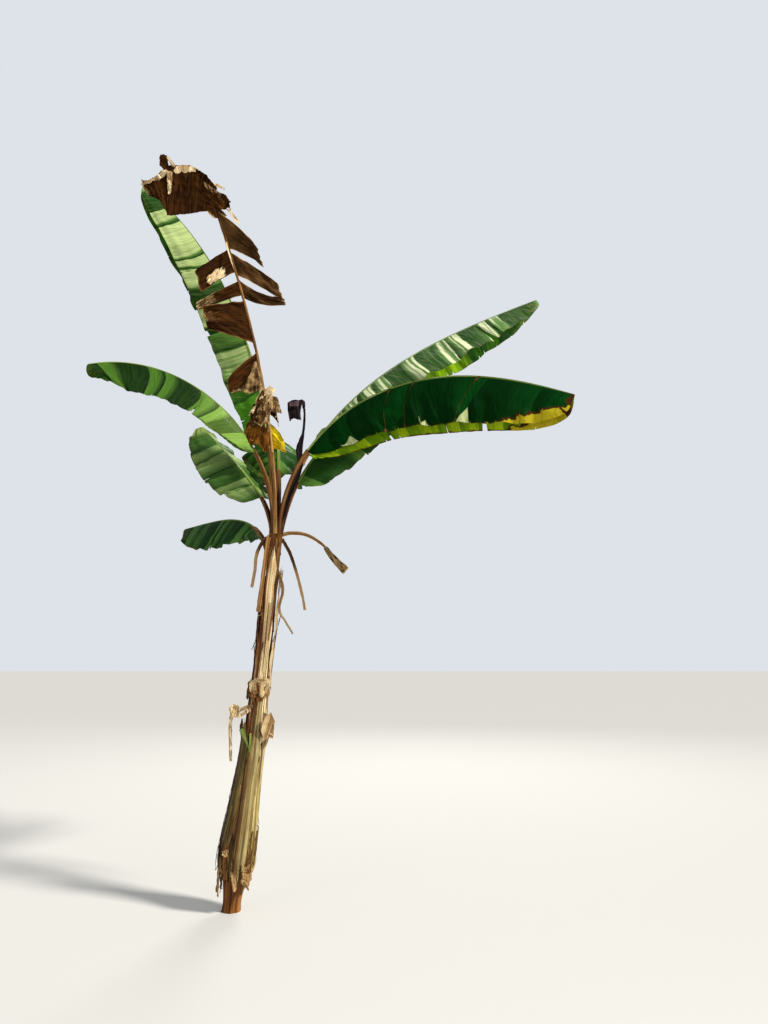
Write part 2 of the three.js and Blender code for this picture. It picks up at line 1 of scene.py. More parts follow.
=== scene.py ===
# Banana plant: fine leaves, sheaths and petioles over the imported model. Metres, +Z up.
# The stem leans towards +X. Azimuths turn from +X towards +Y, and -90 is the front.
import math
import bpy
import numpy as np
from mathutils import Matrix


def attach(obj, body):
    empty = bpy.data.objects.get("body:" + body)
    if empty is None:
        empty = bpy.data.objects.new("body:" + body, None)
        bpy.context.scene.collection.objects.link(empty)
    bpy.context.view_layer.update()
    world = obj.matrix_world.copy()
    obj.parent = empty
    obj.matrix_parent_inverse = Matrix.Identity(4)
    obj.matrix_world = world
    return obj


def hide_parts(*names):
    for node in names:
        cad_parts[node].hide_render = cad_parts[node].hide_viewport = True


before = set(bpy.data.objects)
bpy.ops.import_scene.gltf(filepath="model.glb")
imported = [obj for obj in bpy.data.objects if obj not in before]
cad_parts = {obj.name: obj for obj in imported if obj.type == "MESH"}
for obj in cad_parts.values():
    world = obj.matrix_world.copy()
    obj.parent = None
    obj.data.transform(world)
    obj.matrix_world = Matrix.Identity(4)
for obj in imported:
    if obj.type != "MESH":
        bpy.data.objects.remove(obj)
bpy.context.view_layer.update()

# Driving dimensions, as in the model
STEM_HEIGHT = 2.4
STEM_LEAN = 0.095
STEM_BOW = 0.012
STEM_FOOT_RADIUS = 0.096
STEM_TOP_RADIUS = 0.038
STEM_TAPER = 1.6
WAIST = 0.3
WAIST_HEIGHT = 0.18
FLARE = 0.012
FLARE_HEIGHT = 0.06
BLADE_SKEW = 0.8
BLADE_BLUNT = 0.42
BLADE_SWEEP = 0.16
BLADE_WAVES = ((9, 5.3), (5, 11.7))
INNER_WAVE = 0.6
SHEATH_THICKNESS = 0.007
SEAT = 0.0005

# Sizes of the fine meshes. A grid is given as its rows and columns.
BLADE_SKIN = 0.0012
BLADE_ROWS = 225
HALF_COLUMNS = 15
PLEAT = 0.0026
PLEATS_PER_METRE = 29
BULGE = 0.005
DRY_SKIN = 0.0014
SHEATH_SKIN = 1.4 * DRY_SKIN
COLLAR_SKIN = 2 * DRY_SKIN
SHARP_ANGLE = 50
STEM_GRID = (240, 120)
SHEATH_GRID = (140, 50)
MIDDLE_GRID = (120, 40)
COLLAR_GRID = (60, 110)
SCRAP_GRID = (30, 34)
HOOD_GRID = (90, 81)
FLAP_GRID = (38, 38)
STRIPS = 70
STRIP_GRID = (30, 5)
HEM_STRIPS = 30
HEM_GRID = (40, 9)
# Grain of the stem's skins, in metres for each radian round the stem
GRAIN_RADIUS = 0.09
# How much slimmer than the model's the foot of the fine stem is, and up to what height
FOOT_SLIM = 0.017
FOOT_SLIM_HEIGHT = 0.17

# Camera, at the photograph's viewing angle
EYE = (0.961, -5.2, 1.6)
PITCH = 10.3
FOCAL_PIXELS = 769
IMAGE_HEIGHT = 1024
IMAGE_WIDTH = 768
SENSOR = 36
FLOOR_HALF = 60

# Living leaves: the foot's height, azimuth and distance from the axis, lengths of petiole and blade, half
# widths, azimuth and rise at foot and tip, bend, and the fold of each half near the rib and at the margin.
# Only the fine blades have nicks (small tears of each half), a tip (how blunt it is), a cut (how far its
# margins fall back), an end (length as a share of the model's) and a wider outer part.
LEAVES = {
    "left": dict(
        foot=(2.388, 205, 0.024), petiole=0.59, blade=1.32, half=(0.305, 0.29), azimuth=(212.4, 222),
        rise=(92, -26), bend=0.95, fold=((42, 75), (-8, 30)), seed=11, nicks=(6, 5), tip=0.12, cut=2.4,
        end=0.988,
    ),
    "tall": dict(
        foot=(2.388, 120, 0.02), petiole=0.64, blade=2.7, half=(0.276, 0.33), azimuth=(120.2, 179.1),
        rise=(81.5, 35), bend=0.55, fold=((62, 84), (68, 88)), roll=-4, seed=23, nicks=(7, 6),
    ),
    "right_high": dict(
        foot=(2.388, 30, 0.022), petiole=0.61, blade=2.3, half=(0.31, 0.31), azimuth=(9.2, 18.3),
        rise=(84.7, 26.8), bend=2.2, fold=((50, 78), (30, 68)), seed=35, nicks=(14, 4),
    ),
    "right_low": dict(
        foot=(2.388, -30, 0.026), petiole=0.61, blade=1.975, half=(0.345, 0.345), azimuth=(-19.8, -24.1),
        rise=(91.2, -24), bend=1.56, fold=((60, 86), (62, 86)), tears=2, seed=47, nicks=(4, 14), tip=0.26,
        wider=0.09,
    ),
    "back_left": dict(
        foot=(2.388, 165, 0.026), petiole=0.33, blade=1.08, half=(0.27, 0.27), azimuth=(131, 137),
        rise=(78, 38), bend=5, fold=((30, 60), (10, 40)), seed=59,
    ),
    "low_left": dict(
        foot=(2.17, 158, 0.026), petiole=0.38, blade=1.01, half=(0.26, 0.26), azimuth=(128, 136),
        rise=(82, -2), bend=3, fold=((50, 80), (20, 50)), seed=61,
    ),
    "back": dict(
        foot=(2.388, 90, 0.026), petiole=0.52, blade=1.8, half=(0.3, 0.3), azimuth=(96, 110),
        rise=(88, -26), bend=1.3, fold=((25, 60), (25, 60)), seed=73,
    ),
    "back_right": dict(
        foot=(2.25, 50, 0.026), petiole=0.56, blade=1.56, half=(0.29, 0.29), azimuth=(54, 46),
        rise=(84, 26), bend=1.8, fold=((35, 70), (35, 70)), seed=85,
    ),
}
# Looks of the blades. upper and under are colours from painted shade to painted light. base is another tint
# near the petiole, full at its last share of the length and gone at the one before. folds is how many there
# are in a metre, uneven how much they differ, slant how far they lean to the leaf's base, ramp the share of a
# fold that is painted in half light, and shade how many folds are painted dark, in shade. pleats are the
# narrow ones, painted as thin highlight lines that are brighter on lit folds; fine is their weight and
# crisp the softness of their edges. dry is how yellow the tip is above and below, rim how brown the
# margin is, tip the colour of a burnt tip, and calm how much the margin waves.
PLAIN_LOOK = dict(
    folds=6, shade=0.4, uneven=2.4, slant=0.3, ramp=0.6, pleats=40, fine=0.2, crisp=0.03, dry=(0.2, 0.2),
    rim=0.3, gloss=0.55, shine=0.06, calm=0.7,
)
LEAF_LOOKS = {
    "left": dict(
        PLAIN_LOOK, upper=((0.001, 0.012, 0.001), (0.05, 0.13, 0.014)),
        under=((0.008, 0.05, 0.003), (0.05, 0.14, 0.01)), base=((0.22, 0.38, 0.07), 0.5, 0.14), folds=6.6,
        shade=0.43, uneven=2.6, slant=0.05, pleats=45, fine=0.12, dry=(0.02, 0.1), rim=0.02, shine=0.04,
        calm=0.12,
    ),
    "tall": dict(
        PLAIN_LOOK, upper=((0.006, 0.045, 0.003), (0.09, 0.21, 0.03), (0.48, 0.6, 0.24)),
        under=((0.006, 0.05, 0.002), (0.03, 0.14, 0.006)), base=((0.07, 0.3, 0.006), 0.34, 0.1), folds=4.6,
        shade=0.44, uneven=3.2, ramp=0.3, pleats=36, fine=0.17, dry=(0, 0.1), gloss=0.5, calm=0.6,
    ),
    # right_high's palest colour, cream, is painted highlight: with its crisp fine pleats it paints the glossy
    # streaks of light on the blade.
    "right_high": dict(
        PLAIN_LOOK, upper=((0.006, 0.05, 0.003), (0.12, 0.25, 0.06), (0.74, 0.8, 0.5)),
        under=((0.008, 0.07, 0.003), (0.05, 0.18, 0.006)), under_base=((0.5, 0.85, 0.01), 0.69, 0.6),
        folds=7, shade=0.38, slant=0.6, pleats=30, fine=0.6, crisp=0.09, dry=(0.1, 0.2), gloss=0.42,
        shine=0.1, calm=0.5,
    ),
    # right_low's near black-green upper colours are painted shade on the half that hangs facing the front,
    # and its bright yellow-green under colours are painted light shining through the blade.
    "right_low": dict(
        PLAIN_LOOK, upper=((0.0002, 0.018, 0.0016), (0.0008, 0.045, 0.0038)),
        under=((0.1, 0.22, 0.004), (0.36, 0.5, 0.01)), tip=(0.05, 0.014, 0.004), folds=5, uneven=2,
        slant=0.5, ramp=0.8, fine=0.3, dry=(0, 1), gloss=0.6, shine=0.03, calm=0.25,
    ),
    "back_left": dict(
        PLAIN_LOOK, upper=((0.03, 0.1, 0.014), (0.22, 0.33, 0.1)),
        under=((0.02, 0.08, 0.01), (0.1, 0.2, 0.035)),
    ),
    "low_left": dict(
        PLAIN_LOOK, upper=((0.004, 0.03, 0.004), (0.08, 0.2, 0.04)),
        under=((0.01, 0.05, 0.006), (0.06, 0.14, 0.02)), folds=9, uneven=2.6, pleats=50, fine=0.25,
        gloss=0.5, shine=0.08, calm=0.4,
    ),
    "back": dict(
        PLAIN_LOOK, upper=((0.008, 0.045, 0.005), (0.07, 0.18, 0.02)),
        under=((0.015, 0.06, 0.006), (0.07, 0.17, 0.02)), dry=(0.3, 0.3), gloss=0.6, shine=0.05,
    ),
}
LEAF_LOOKS["back_right"] = dict(LEAF_LOOKS["back"], upper=((0.008, 0.045, 0.005), (0.065, 0.16, 0.02)))
# Colours of a blade's line along the rib, of its dry tip and margin, and of the border outside a burnt tip
RIB_LINE = (0.2, 0.28, 0.06)
YELLOW_TIP = (0.5, 0.38, 0.012)
DRY_MARGIN = (0.09, 0.03, 0.006)
PALE_BORDER = (0.4, 0.33, 0.012)

# Brown seams of the low right leaf: place along the blade, and width. Folded corners of its hem: from and
# to along the blade, and height as a share of the half's width. Both lean to the leaf's base.
SEAM_LEAN = 0.08
SEAMS = ((0.37, 0.0013), (0.46, 0.001), (0.685, 0.0012))
HEM_FOLDS = ((0.17, 0.24, 0.26), (0.53, 0.565, 0.12), (0.69, 0.74, 0.3))

# The dead leaf: its rib, the hook at its end, and the hood that hangs over the hook. The hood's levels
# are its hem's near the rib and at the tip, near and far its reach to the front and the back, spill how
# far it leans out, drop and pull how far its ridge comes down and to the right, and steps its uneven hem.
DEAD_RIB = dict(
    foot=(2.388, 262, 0.024), petiole=0.56, blade=1.97, azimuth=(187.9, 197.8), rise=(89.5, 70), bend=1.47,
)
DEAD_HOOK = dict(length=0.63, azimuth=(196, 184), rise=(86, -45), bend=1.5)
HOOD = dict(levels=(4.705, 4.86), near=0.075, far=0.085, spill=0.115, drop=0.066, pull=0.026, steps=7)
# The curl on the hood's ridge: points from where it starts, half widths and half depths
HOOD_CURL = (
    (0.024, 0, -0.008), (0.032, 0, 0.024), (0.026, 0.004, 0.062), (0.014, 0.006, 0.098),
    (-0.014, 0.006, 0.106),
)
HOOD_CURL_WIDTH = (0.007, 0.008, 0.012, 0.012, 0.006)
HOOD_CURL_DEPTH = (0.008, 0.009, 0.01, 0.009, 0.006)
DEAD_NAMES = ("brown", "back", "tan", "rust", "yellow", "cream")
# Torn strips of the dead blade: from and to along the rib, azimuth, reach, fall at the rib and at the
# end, far width over near width, and looks above and below
DEAD_FLAPS = (
    ((2.385, 2.512), -20, 0.165, (-58, 72), 0.75, ("tan", "brown")),
    ((2.1, 2.4), -8, 0.365, (28, 46), 0.56, ("back", "back")),
    ((1.895, 2.075), 14, 0.395, (20, 34), 0.75, ("back", "back")),
    ((1.72, 1.866), -6, 0.36, (42, 6), 0.3, ("brown", "back")),
    ((1.92, 2.1), 208, 0.33, (38, 46), 0.9, ("brown", "brown")),
    ((1.742, 1.85), 206, 0.37, (30, 38), 0.5, ("brown", "tan")),
    ((1.37, 1.696), 208, 0.33, (0, 10), 0.5, ("brown", "brown")),
    ((1.026, 1.305), 210, 0.285, (22, 42), 0.38, ("brown", "brown")),
    ((0.8, 1.04), 215, 0.19, (35, 84), 0.8, ("tan", "brown")),
    ((0.85, 1.04), -10, 0.15, (20, 80), 0.8, ("tan", "brown")),
    ((0.6, 0.745), 222, 0.18, (-14, 4), 0.75, ("rust", "rust")),
    ((0.6, 0.79), -8, 0.135, (20, 50), 0.55, ("yellow", "yellow")),
)
# Paler crumpled patches of the flaps: flap, from and to across it, from and to along it, and look
FLAP_PATCHES = (
    (4, 0.02, 0.4, 0.3, 0.72, "cream"), (5, 0.05, 0.95, 0.62, 1, "tan"), (7, 0, 0.12, 0.3, 0.9, "tan"),
    (3, 0.5, 0.95, 0.86, 1, "back"), (6, 0.3, 0.7, 0.75, 1, "back"),
)

# Scraps in front of the rest: look, how crumpled they are, how far in front of the plant's axis they hang
# at their start and end, and the top and the bottom edge, in pixels where the camera sees them
HOOD_SCRAPS = {
    # panel and lobe are the hood's inside: their dark brown holds painted shade.
    "panel": (
        "brown", 0.005, 0.325, 0.27,
        ((167, 176), (172, 169), (177, 175), (182, 171), (187, 177), (192, 171), (199, 173), (208, 186),
         (216, 196)),
        ((167, 215.7), (175, 215), (190, 214), (202, 212), (214, 210)),
    ),
    "lobe": (
        "brown", 0.006, 0.33, 0.32, ((142, 185), (150, 181), (158, 177), (168, 176)),
        ((146, 187.5), (150, 190.5), (154, 197.5), (158, 196.5), (162.5, 205), (168, 215)),
    ),
    "left_rim": (
        "cream", 0.008, 0.335, 0.33, ((140.5, 184), (150, 179.5), (158, 176), (162, 170.5), (166, 168.5)),
        ((143, 186.5), (152, 182), (159, 180.5), (163, 177), (169, 173)),
    ),
    "middle_strip": ("cream", 0.008, 0.335, 0.335, ((167, 171), (172.5, 172)), ((168, 194), (171, 194))),
    "top_rim": (
        "cream", 0.003, 0.3, 0.27, ((172, 172), (177, 166.3), (184, 164.8), (190, 165), (199, 170)),
        ((174, 173), (181, 174.5), (188, 172), (197, 173)),
    ),
    "right_edge": (
        "brown", 0.01, 0.285, 0.27, ((197, 169.5), (205, 174), (211, 181), (217, 188)),
        ((196, 173), (203, 182), (208, 191), (214, 198)),
    ),
    "right_strip": ("tan", 0.005, 0.295, 0.26, ((204, 182), (222, 194)), ((205, 187), (219, 199))),
    "right_curl": (
        "cream", 0.004, 0.24, 0.22, ((211, 182.5), (219, 184), (225, 189)),
        ((213, 186), (219, 187.5), (224, 190.5)),
    ),
    "right_lobe": (
        "brown", 0.012, 0.27, 0.22, ((215, 194), (225, 196), (231, 202)),
        ((213, 207), (222, 211), (227, 210)),
    ),
    "hanging": ("cream", 0.004, 0.24, 0.22, ((226, 208), (231, 211)), ((237, 223), (241, 224))),
    "curl_strip": ("cream", 0.003, 0.25, 0.25, ((166, 157), (168.5, 156.5)), ((173, 167.5), (176, 166))),
    "curl": (
        "brown", 0.005, 0.245, 0.24, ((159, 158), (160.5, 155.5), (163.5, 154.5), (167.5, 156.5)),
        ((160.5, 161), (159.5, 165.5), (163, 169), (168.5, 166)),
    ),
}
RIB_SCRAPS = {
    "mass_top": ("cream", 0.005, 0.17, 0.15, ((269, 386), (276, 389)), ((259, 399), (267, 405))),
    "mass_strip": ("cream", 0.005, 0.17, 0.16, ((253, 408), (257, 404)), ((248, 416), (253, 414))),
    "mass_brown": ("back", 0.008, 0.165, 0.16, ((262, 391), (267, 395)), ((255, 405), (263, 409))),
    "mass_middle": (
        "tan", 0.011, 0.165, 0.14, ((261, 402), (266, 400), (272, 405)),
        ((254, 422), (261, 427), (266, 424), (268, 433)),
    ),
    "mass_fold": ("back", 0.006, 0.175, 0.165, ((262, 410), (266, 412)), ((258, 424), (263, 430))),
    "mass_left": ("back", 0.01, 0.16, 0.15, ((253, 404), (261, 403)), ((249, 425), (257, 428))),
    "mass_right": ("tan", 0.012, 0.14, 0.1, ((270, 393), (278, 399)), ((269, 411), (282, 413.5))),
    "brown_panel": (
        "rust", 0.009, 0.15, 0.12, ((248, 422), (256, 425), (263, 427), (269, 431)),
        ((244, 434), (251, 446), (259, 444), (263, 451), (269, 453)),
    ),
    "rib_rag": ("tan", 0.01, 0.15, 0.13, ((254, 363), (257, 361)), ((243, 392), (250, 395), (264, 390))),
    "ring": ("cream", 0.004, 0.17, 0.16, ((225, 243), (227, 242)), ((231, 262), (234, 270))),
}
STEM_SCRAPS = {
    "collar_left": (
        "sheath_cream", 0.006, 0.105, 0.105, ((249, 683), (256, 678), (264, 679)),
        ((251, 696), (258, 693), (266, 690)),
    ),
    "collar_right": (
        "sheath_cream", 0.006, 0.11, 0.1, ((257, 682), (267, 678), (271, 680)),
        ((256, 691), (262, 698), (270, 686)),
    ),
    "collar_shade": ("sheath_rust", 0.008, 0.1, 0.1, ((251, 695), (263, 696)), ((254, 704), (263, 701))),
    "knot": (
        "sheath_cream", 0.009, 0.105, 0.1, ((229, 708), (234, 704), (240, 706)),
        ((231, 719), (234, 714), (240, 714)),
    ),
    "ribbon_band": (
        "sheath_cream", 0.004, 0.1, 0.085, ((231, 713), (240, 714), (250, 707)),
        ((232, 718), (241, 717), (251, 711)),
    ),
    "ribbon_tail": ("sheath_cream", 0.005, 0.1, 0.1, ((229, 717), (232, 717)), ((230, 757), (232, 759))),
    "peel_front": (
        "sheath_cream", 0.003, 0.105, 0.07, ((265, 717), (271, 712), (274, 719)),
        ((261, 730), (264, 741), (267, 738)),
    ),
    "green_streak": ("midrib", 0.002, 0.12, 0.128, ((239, 730), (243, 728)), ((247, 746), (251, 754))),
    "green_line": ("midrib", 0.002, 0.13, 0.13, ((249.5, 734), (251.5, 733)), ((249, 752), (251, 753))),
    # A dark rust line between the two cream rags: painted shade in the collar's crease.
    "collar_gap_shade": (
        "sheath_rust", 0.003, 0.125, 0.123, ((256, 684), (258.5, 682)), ((257, 693), (259.5, 695)),
    ),
    # A dark rust sheet under the collar's left end: painted shadow, like collar_shade.
    "collar_low_shade": ("sheath_rust", 0.005, 0.118, 0.118, ((250, 692), (254, 690)), ((252, 699), (256, 697))),
    "rust_streak": (
        "sheath_rust", 0.001, 0.075, 0.073, ((277.5, 574), (279.5, 575)), ((267.5, 640), (269, 641)),
    ),
    "sheath_end": (
        "sheath_rust", 0.002, 0.058, 0.05, ((267, 541), (271, 532.5), (275, 535), (280, 544)),
        ((268, 546), (272, 549), (276, 549), (279, 547)),
    ),
    "hem_right": ("sheath_tan", 0.01, 0.115, 0.09, ((243, 866), (250, 861)), ((240, 884), (249, 890))),
    "hem_left": ("sheath_tan", 0.008, 0.12, 0.12, ((222, 851), (229, 849)), ((223, 856), (229, 858))),
}
STEM_SCRAP_LOOKS = ("sheath_cream", "sheath_tan", "sheath_rust", "midrib")
# The pale lobe at the foot of the low right blade, and the torn top and the lit band of the spear's curl
LEAF_LOBE = (
    "pale_leaf", 0.003, 0.1, 0.14, ((317, 435), (322, 429), (326, 427)), ((315, 441), (321, 443), (328, 444)),
)
SPEAR_TOP = (
    "dark", 0.001, 0.03, 0.028, ((297, 400.5), (302, 399.3), (305, 401.5)),
    ((297, 405), (302, 404.5), (305.4, 407)),
)
SPEAR_BAND = ("light", 0.002, 0.06, 0.05, ((289, 402.5), (299, 400.8)), ((289.5, 406), (299, 406)))

# Sheaths: from and to in height, middle azimuth, span in degrees, the head's span over the foot's, how far
# foot and head stand off the stem, and how far the part between bulges. As in the model, but for low_right
# and low_front, which bulge about 1 cm less.
SHEATHS = {
    "low_left": dict(
        z=(0.2, 1.19), centre=205, span=150, point=0.35, lift=(0, 0.016), bulge=0.034, crest=0.45,
    ),
    "low_right": dict(z=(0.185, 1.12), centre=0, span=116, point=0.4, lift=(0, 0.016), bulge=0.01, crest=0.5),
    "low_back": dict(z=(0.19, 1.04), centre=101, span=56, point=0.6, lift=(0, 0.014), bulge=0.02, crest=0.5),
    "low_front": dict(
        z=(0.2, 0.98), centre=288, span=90, point=0.4, lift=(0.0118, 0.038), bulge=0.03, crest=0.44,
    ),
    "high_left": dict(z=(1.0, 2.33), centre=180, span=88, point=0.4, lift=(0, 0.003), bulge=0.02, crest=3),
    "high_right": dict(z=(1.0, 2.18), centre=2, span=84, point=0.35, lift=(0, 0.006), bulge=0.016, crest=2),
    "high_back": dict(z=(0.93, 2.25), centre=92, span=84, point=0.5, lift=(0, 0.004), bulge=0.018, crest=3),
    "high_front": dict(z=(1.01, 2.32), centre=272, span=90, point=0.3, lift=(0, 0.01), bulge=0.026, crest=3),
}
# The smooth sheath at the front. Over the head of low_front, at swell, it stands further off.
MIDDLE_SHEATH = dict(z=(0.23, 1.33), centre=286, half=0.036, margin=0.009, swell=0.95)
COLLAR = dict(z=(1.285, 1.43), centre=268, span=130, stand=(0.008, 0.026), space=0.011)
PEEL = dict(z=(1.05, 1.215), azimuth=-42, towards=-12, reach=0.095)
SPEAR_CURL = dict(width=0.105, reach=0.15)
# Limbs and ribbons: look, slot, half widths, half depths, and points
STRANDS = {
    "old_petiole_front": (
        "dry_petiole_skin", "dry_petiole", (0.015, 0.013), (0.009, 0.006),
        ((0.208, -0.016, 2.374), (0.18, -0.06, 2.348), (0.157, -0.084, 2.106), (0.131, -0.096, 1.86)),
    ),
    "old_petiole_left": (
        "dark_petiole_skin", "dry_petiole", (0.013, 0.01), (0.008, 0.005),
        ((0.206, -0.008, 2.366), (0.15, -0.024, 2.35), (0.101, -0.034, 2.25), (0.092, -0.038, 2.135),
         (0.075, -0.04, 2.024)),
    ),
    "old_petiole_right": (
        "dark_petiole_skin", "dry_petiole", (0.012, 0.008), (0.008, 0.008),
        ((0.262, 0.024, 2.36), (0.33, 0.02, 2.235), (0.399, 0.02, 2.012), (0.428, 0.02, 1.877)),
    ),
    "strip_right": (
        "sheath_cream", "dry_sheath", (0.012, 0.005), (0.004, 0.003),
        ((0.236, -0.018, 2.152), (0.282, -0.034, 2.015), (0.262, -0.038, 1.88), (0.307, -0.03, 1.795),
         (0.355, -0.024, 1.716)),
    ),
    "ribbon": (
        "sheath_cream", "dry_sheath", (0.012, 0.008), (0.004, 0.004),
        ((0.118, -0.052, 1.256), (0.056, -0.092, 1.24), (-0.012, -0.09, 1.2), (-0.03, -0.086, 1.13),
         (-0.024, -0.086, 1.03), (-0.017, -0.086, 0.913)),
    ),
    "drooping_rib": (
        "dry_petiole_skin", "dry_petiole", (0.014, 0.008), (0.009, 0.006),
        ((0.258, 0.004, 2.386), (0.33, -0.002, 2.398), (0.43, -0.006, 2.385), (0.52, -0.008, 2.335),
         (0.56, -0.008, 2.3)),
    ),
    "drooping_blade": (
        "dead_tan", "dead_blade", (0.014, 0.03), (0.005, 0.005),
        ((0.561, -0.008, 2.299), (0.6, -0.01, 2.245), (0.65, -0.014, 2.19), (0.705, -0.016, 2.135)),
    ),
    "spear": (
        "spear_skin", "withered_spear", (0.011, 0.012, 0.012, 0.013, 0.025, 0.009, 0.007, 0.009),
        (0.009, 0.009, 0.009, 0.01, 0.016, 0.008, 0.006, 0.006),
        ((0.24, -0.006, 2.388), (0.262, -0.016, 2.486), (0.315, -0.02, 2.66), (0.38, -0.02, 2.837),
         (0.372, -0.02, 2.979), (0.396, -0.02, 3.102), (0.404, -0.02, 3.232), (0.394, -0.02, 3.31)),
    ),
}

# Section of a petiole, in half widths and depths: rounded below, with a groove between two rims above
PETIOLE_SECTION = ((1, 0.1), (0.6, -0.8), (-0.6, -0.8), (-1, 0.1), (-0.6, 0.55), (0, 0.15), (0.6, 0.55))
PETIOLE_WIDTH = (0.024, 0.017)
PETIOLE_DEPTH = (0.017, 0.015)

# Fibres: colours from dark to light, streaks across and along, roughness, relief, seed, blotches, dark hairs
FIBRES = {
    "midrib": (((0.08, 0.13, 0.02), (0.22, 0.3, 0.06), (0.38, 0.44, 0.14)), 120, 3, 0.5, 0.2, 1),
    "pale_leaf": (((0.2, 0.25, 0.09), (0.4, 0.46, 0.2), (0.6, 0.62, 0.36)), 60, 3, 0.6, 0.2, 21, 5, 0.2),
    "seam": (((0.02, 0.012, 0.003), (0.06, 0.03, 0.007), (0.16, 0.08, 0.018)), 60, 6, 0.7, 0.3, 22),
    "petiole_skin": (
        ((0.06, 0.018, 0.006), (0.2, 0.08, 0.018), (0.36, 0.19, 0.05)), 40, 1.4, 0.5, 0.3, 2, 5, 0.25,
    ),
    "dry_petiole_skin": (
        ((0.08, 0.024, 0.007), (0.26, 0.115, 0.03), (0.48, 0.29, 0.1)), 45, 1.6, 0.6, 0.4, 3, 5, 0.3,
    ),
    "dark_petiole_skin": (
        ((0.02, 0.008, 0.004), (0.06, 0.025, 0.01), (0.16, 0.08, 0.03)), 60, 2.0, 0.7, 0.5, 3, 5, 0.4,
        (0.52, 0.32, 0.14),
    ),
    "stem_skin": (
        ((0.06, 0.018, 0.005), (0.25, 0.09, 0.018), (0.4, 0.2, 0.055)), 26, 1.2, 0.6, 0.4, 4, 5, 0.25,
    ),
    "sheath_tan": (((0.09, 0.035, 0.012), (0.32, 0.18, 0.065), (0.6, 0.43, 0.2)), 55, 1.4, 0.8, 0.7, 5),
    "sheath_olive": (
        ((0.035, 0.018, 0.006), (0.14, 0.085, 0.022), (0.34, 0.24, 0.08)), 55, 1.6, 0.8, 0.7, 6,
    ),
    "sheath_rust": (((0.04, 0.013, 0.005), (0.16, 0.06, 0.016), (0.36, 0.17, 0.05)), 60, 1.8, 0.8, 0.7, 7),
    "sheath_cream": (
        ((0.22, 0.12, 0.045), (0.58, 0.42, 0.21), (0.82, 0.68, 0.42)), 50, 1.8, 0.85, 0.7, 8, 5, 0.25,
    ),
    "spear_skin": (
        ((0.002, 0.001, 0.0015), (0.008, 0.003, 0.004), (0.03, 0.016, 0.02)), 80, 3, 0.55, 0.4, 13,
    ),
    "spear_back": (((0.03, 0.016, 0.02), (0.1, 0.06, 0.07), (0.2, 0.14, 0.15)), 80, 3, 0.6, 0.3, 14),
}
# Lines in a sheath's skin: along its fibres, and between its bands and its streaks
FIBRE_LINE = (0.07, 0.026, 0.009)
BAND_GAP = (0.035, 0.01, 0.006)
STREAK_GAP = (0.02, 0.006, 0.004)
# Sheaths: dark and light at the one margin and at the other, seed, gloss, gaps, and where they change
# These colours are partly the sheaths' own and partly painted light and shade: the sheaths and margins on the
# stem's shaded left are painted darker, and those on its lit right paler cream.
SHEATH_SKINS = {
    "sheath_high_front": (
        (((0.07, 0.016, 0.005), (0.3, 0.12, 0.035)), ((0.62, 0.44, 0.21), (1, 0.84, 0.54))), 5, 0.5, 0.25,
        0.3,
    ),
    "sheath_high_right": (
        (((0.62, 0.44, 0.21), (1, 0.82, 0.52)), ((0.3, 0.13, 0.03), (0.72, 0.46, 0.19))), 6, 0.5, 0.25,
    ),
    "sheath_high_left": (
        (((0.1, 0.035, 0.01), (0.24, 0.11, 0.035)), ((0.03, 0.008, 0.004), (0.12, 0.04, 0.012))), 7,
    ),
    "sheath_high_back": (
        (((0.1, 0.04, 0.014), (0.34, 0.19, 0.07)), ((0.14, 0.07, 0.02), (0.42, 0.28, 0.12))), 8,
    ),
    "sheath_low_front": (
        (((0.07, 0.028, 0.007), (0.28, 0.17, 0.045)), ((0.22, 0.16, 0.05), (0.6, 0.49, 0.2))), 9, 0.5, 0.6,
    ),
    "sheath_low_right": (
        (((0.24, 0.17, 0.06), (0.6, 0.48, 0.22)), ((0.1, 0.045, 0.014), (0.32, 0.2, 0.07))), 10, 0.5, 0.6,
    ),
    "sheath_middle": (
        (((0.11, 0.055, 0.016), (0.3, 0.19, 0.06)), ((0.23, 0.17, 0.06), (0.6, 0.5, 0.24))), 14, 0.5, 0.6,
        0.33,
    ),
    "sheath_low_left": (
        (((0.04, 0.015, 0.008), (0.14, 0.07, 0.025)), ((0.07, 0.045, 0.01), (0.25, 0.19, 0.05))), 11,
    ),
    "sheath_low_back": (
        (((0.08, 0.04, 0.012), (0.28, 0.18, 0.06)), ((0.06, 0.035, 0.01), (0.22, 0.15, 0.04))), 12,
    ),
}
# Dead blade: dark and light, the margin's colour, seed, and patches in a metre across and along
DEAD_SKINS = {
    # dead_brown is the blade's own brown darkened to how it looks in shade, so it is partly painted shade;
    # the hood's inside and many flaps use it.
    "dead_brown": (((0.016, 0.005, 0.0008), (0.05, 0.018, 0.003)), (0.2, 0.1, 0.035), 9),
    "dead_back": (((0.035, 0.014, 0.004), (0.11, 0.055, 0.018)), (0.5, 0.34, 0.16), 10),
    "dead_tan": (((0.04, 0.016, 0.005), (0.36, 0.235, 0.105)), (0.7, 0.54, 0.3), 11, (36, 14)),
    "dead_cream": (((0.3, 0.19, 0.08), (0.72, 0.58, 0.36)), (0.82, 0.72, 0.5), 15),
    "dead_rust": (((0.05, 0.015, 0.002), (0.17, 0.065, 0.009)), (0.5, 0.3, 0.06), 12, (22, 12)),
    "dead_yellow": (((0.5, 0.3, 0.006), (0.68, 0.55, 0.015)), (0.25, 0.1, 0.01), 13),
}


def mix(a, b, t):
    return a + (b - a) * t


def smooth(low, high, x):
    """A soft step from 0 at low to 1 at high."""
    t = np.clip((x - low) / (high - low), 0, 1)
    return t * t * (3 - 2 * t)


def hump(x, width):
    """One at 0, and falling off softly over the width."""
    return np.exp(-((x / width) ** 2))


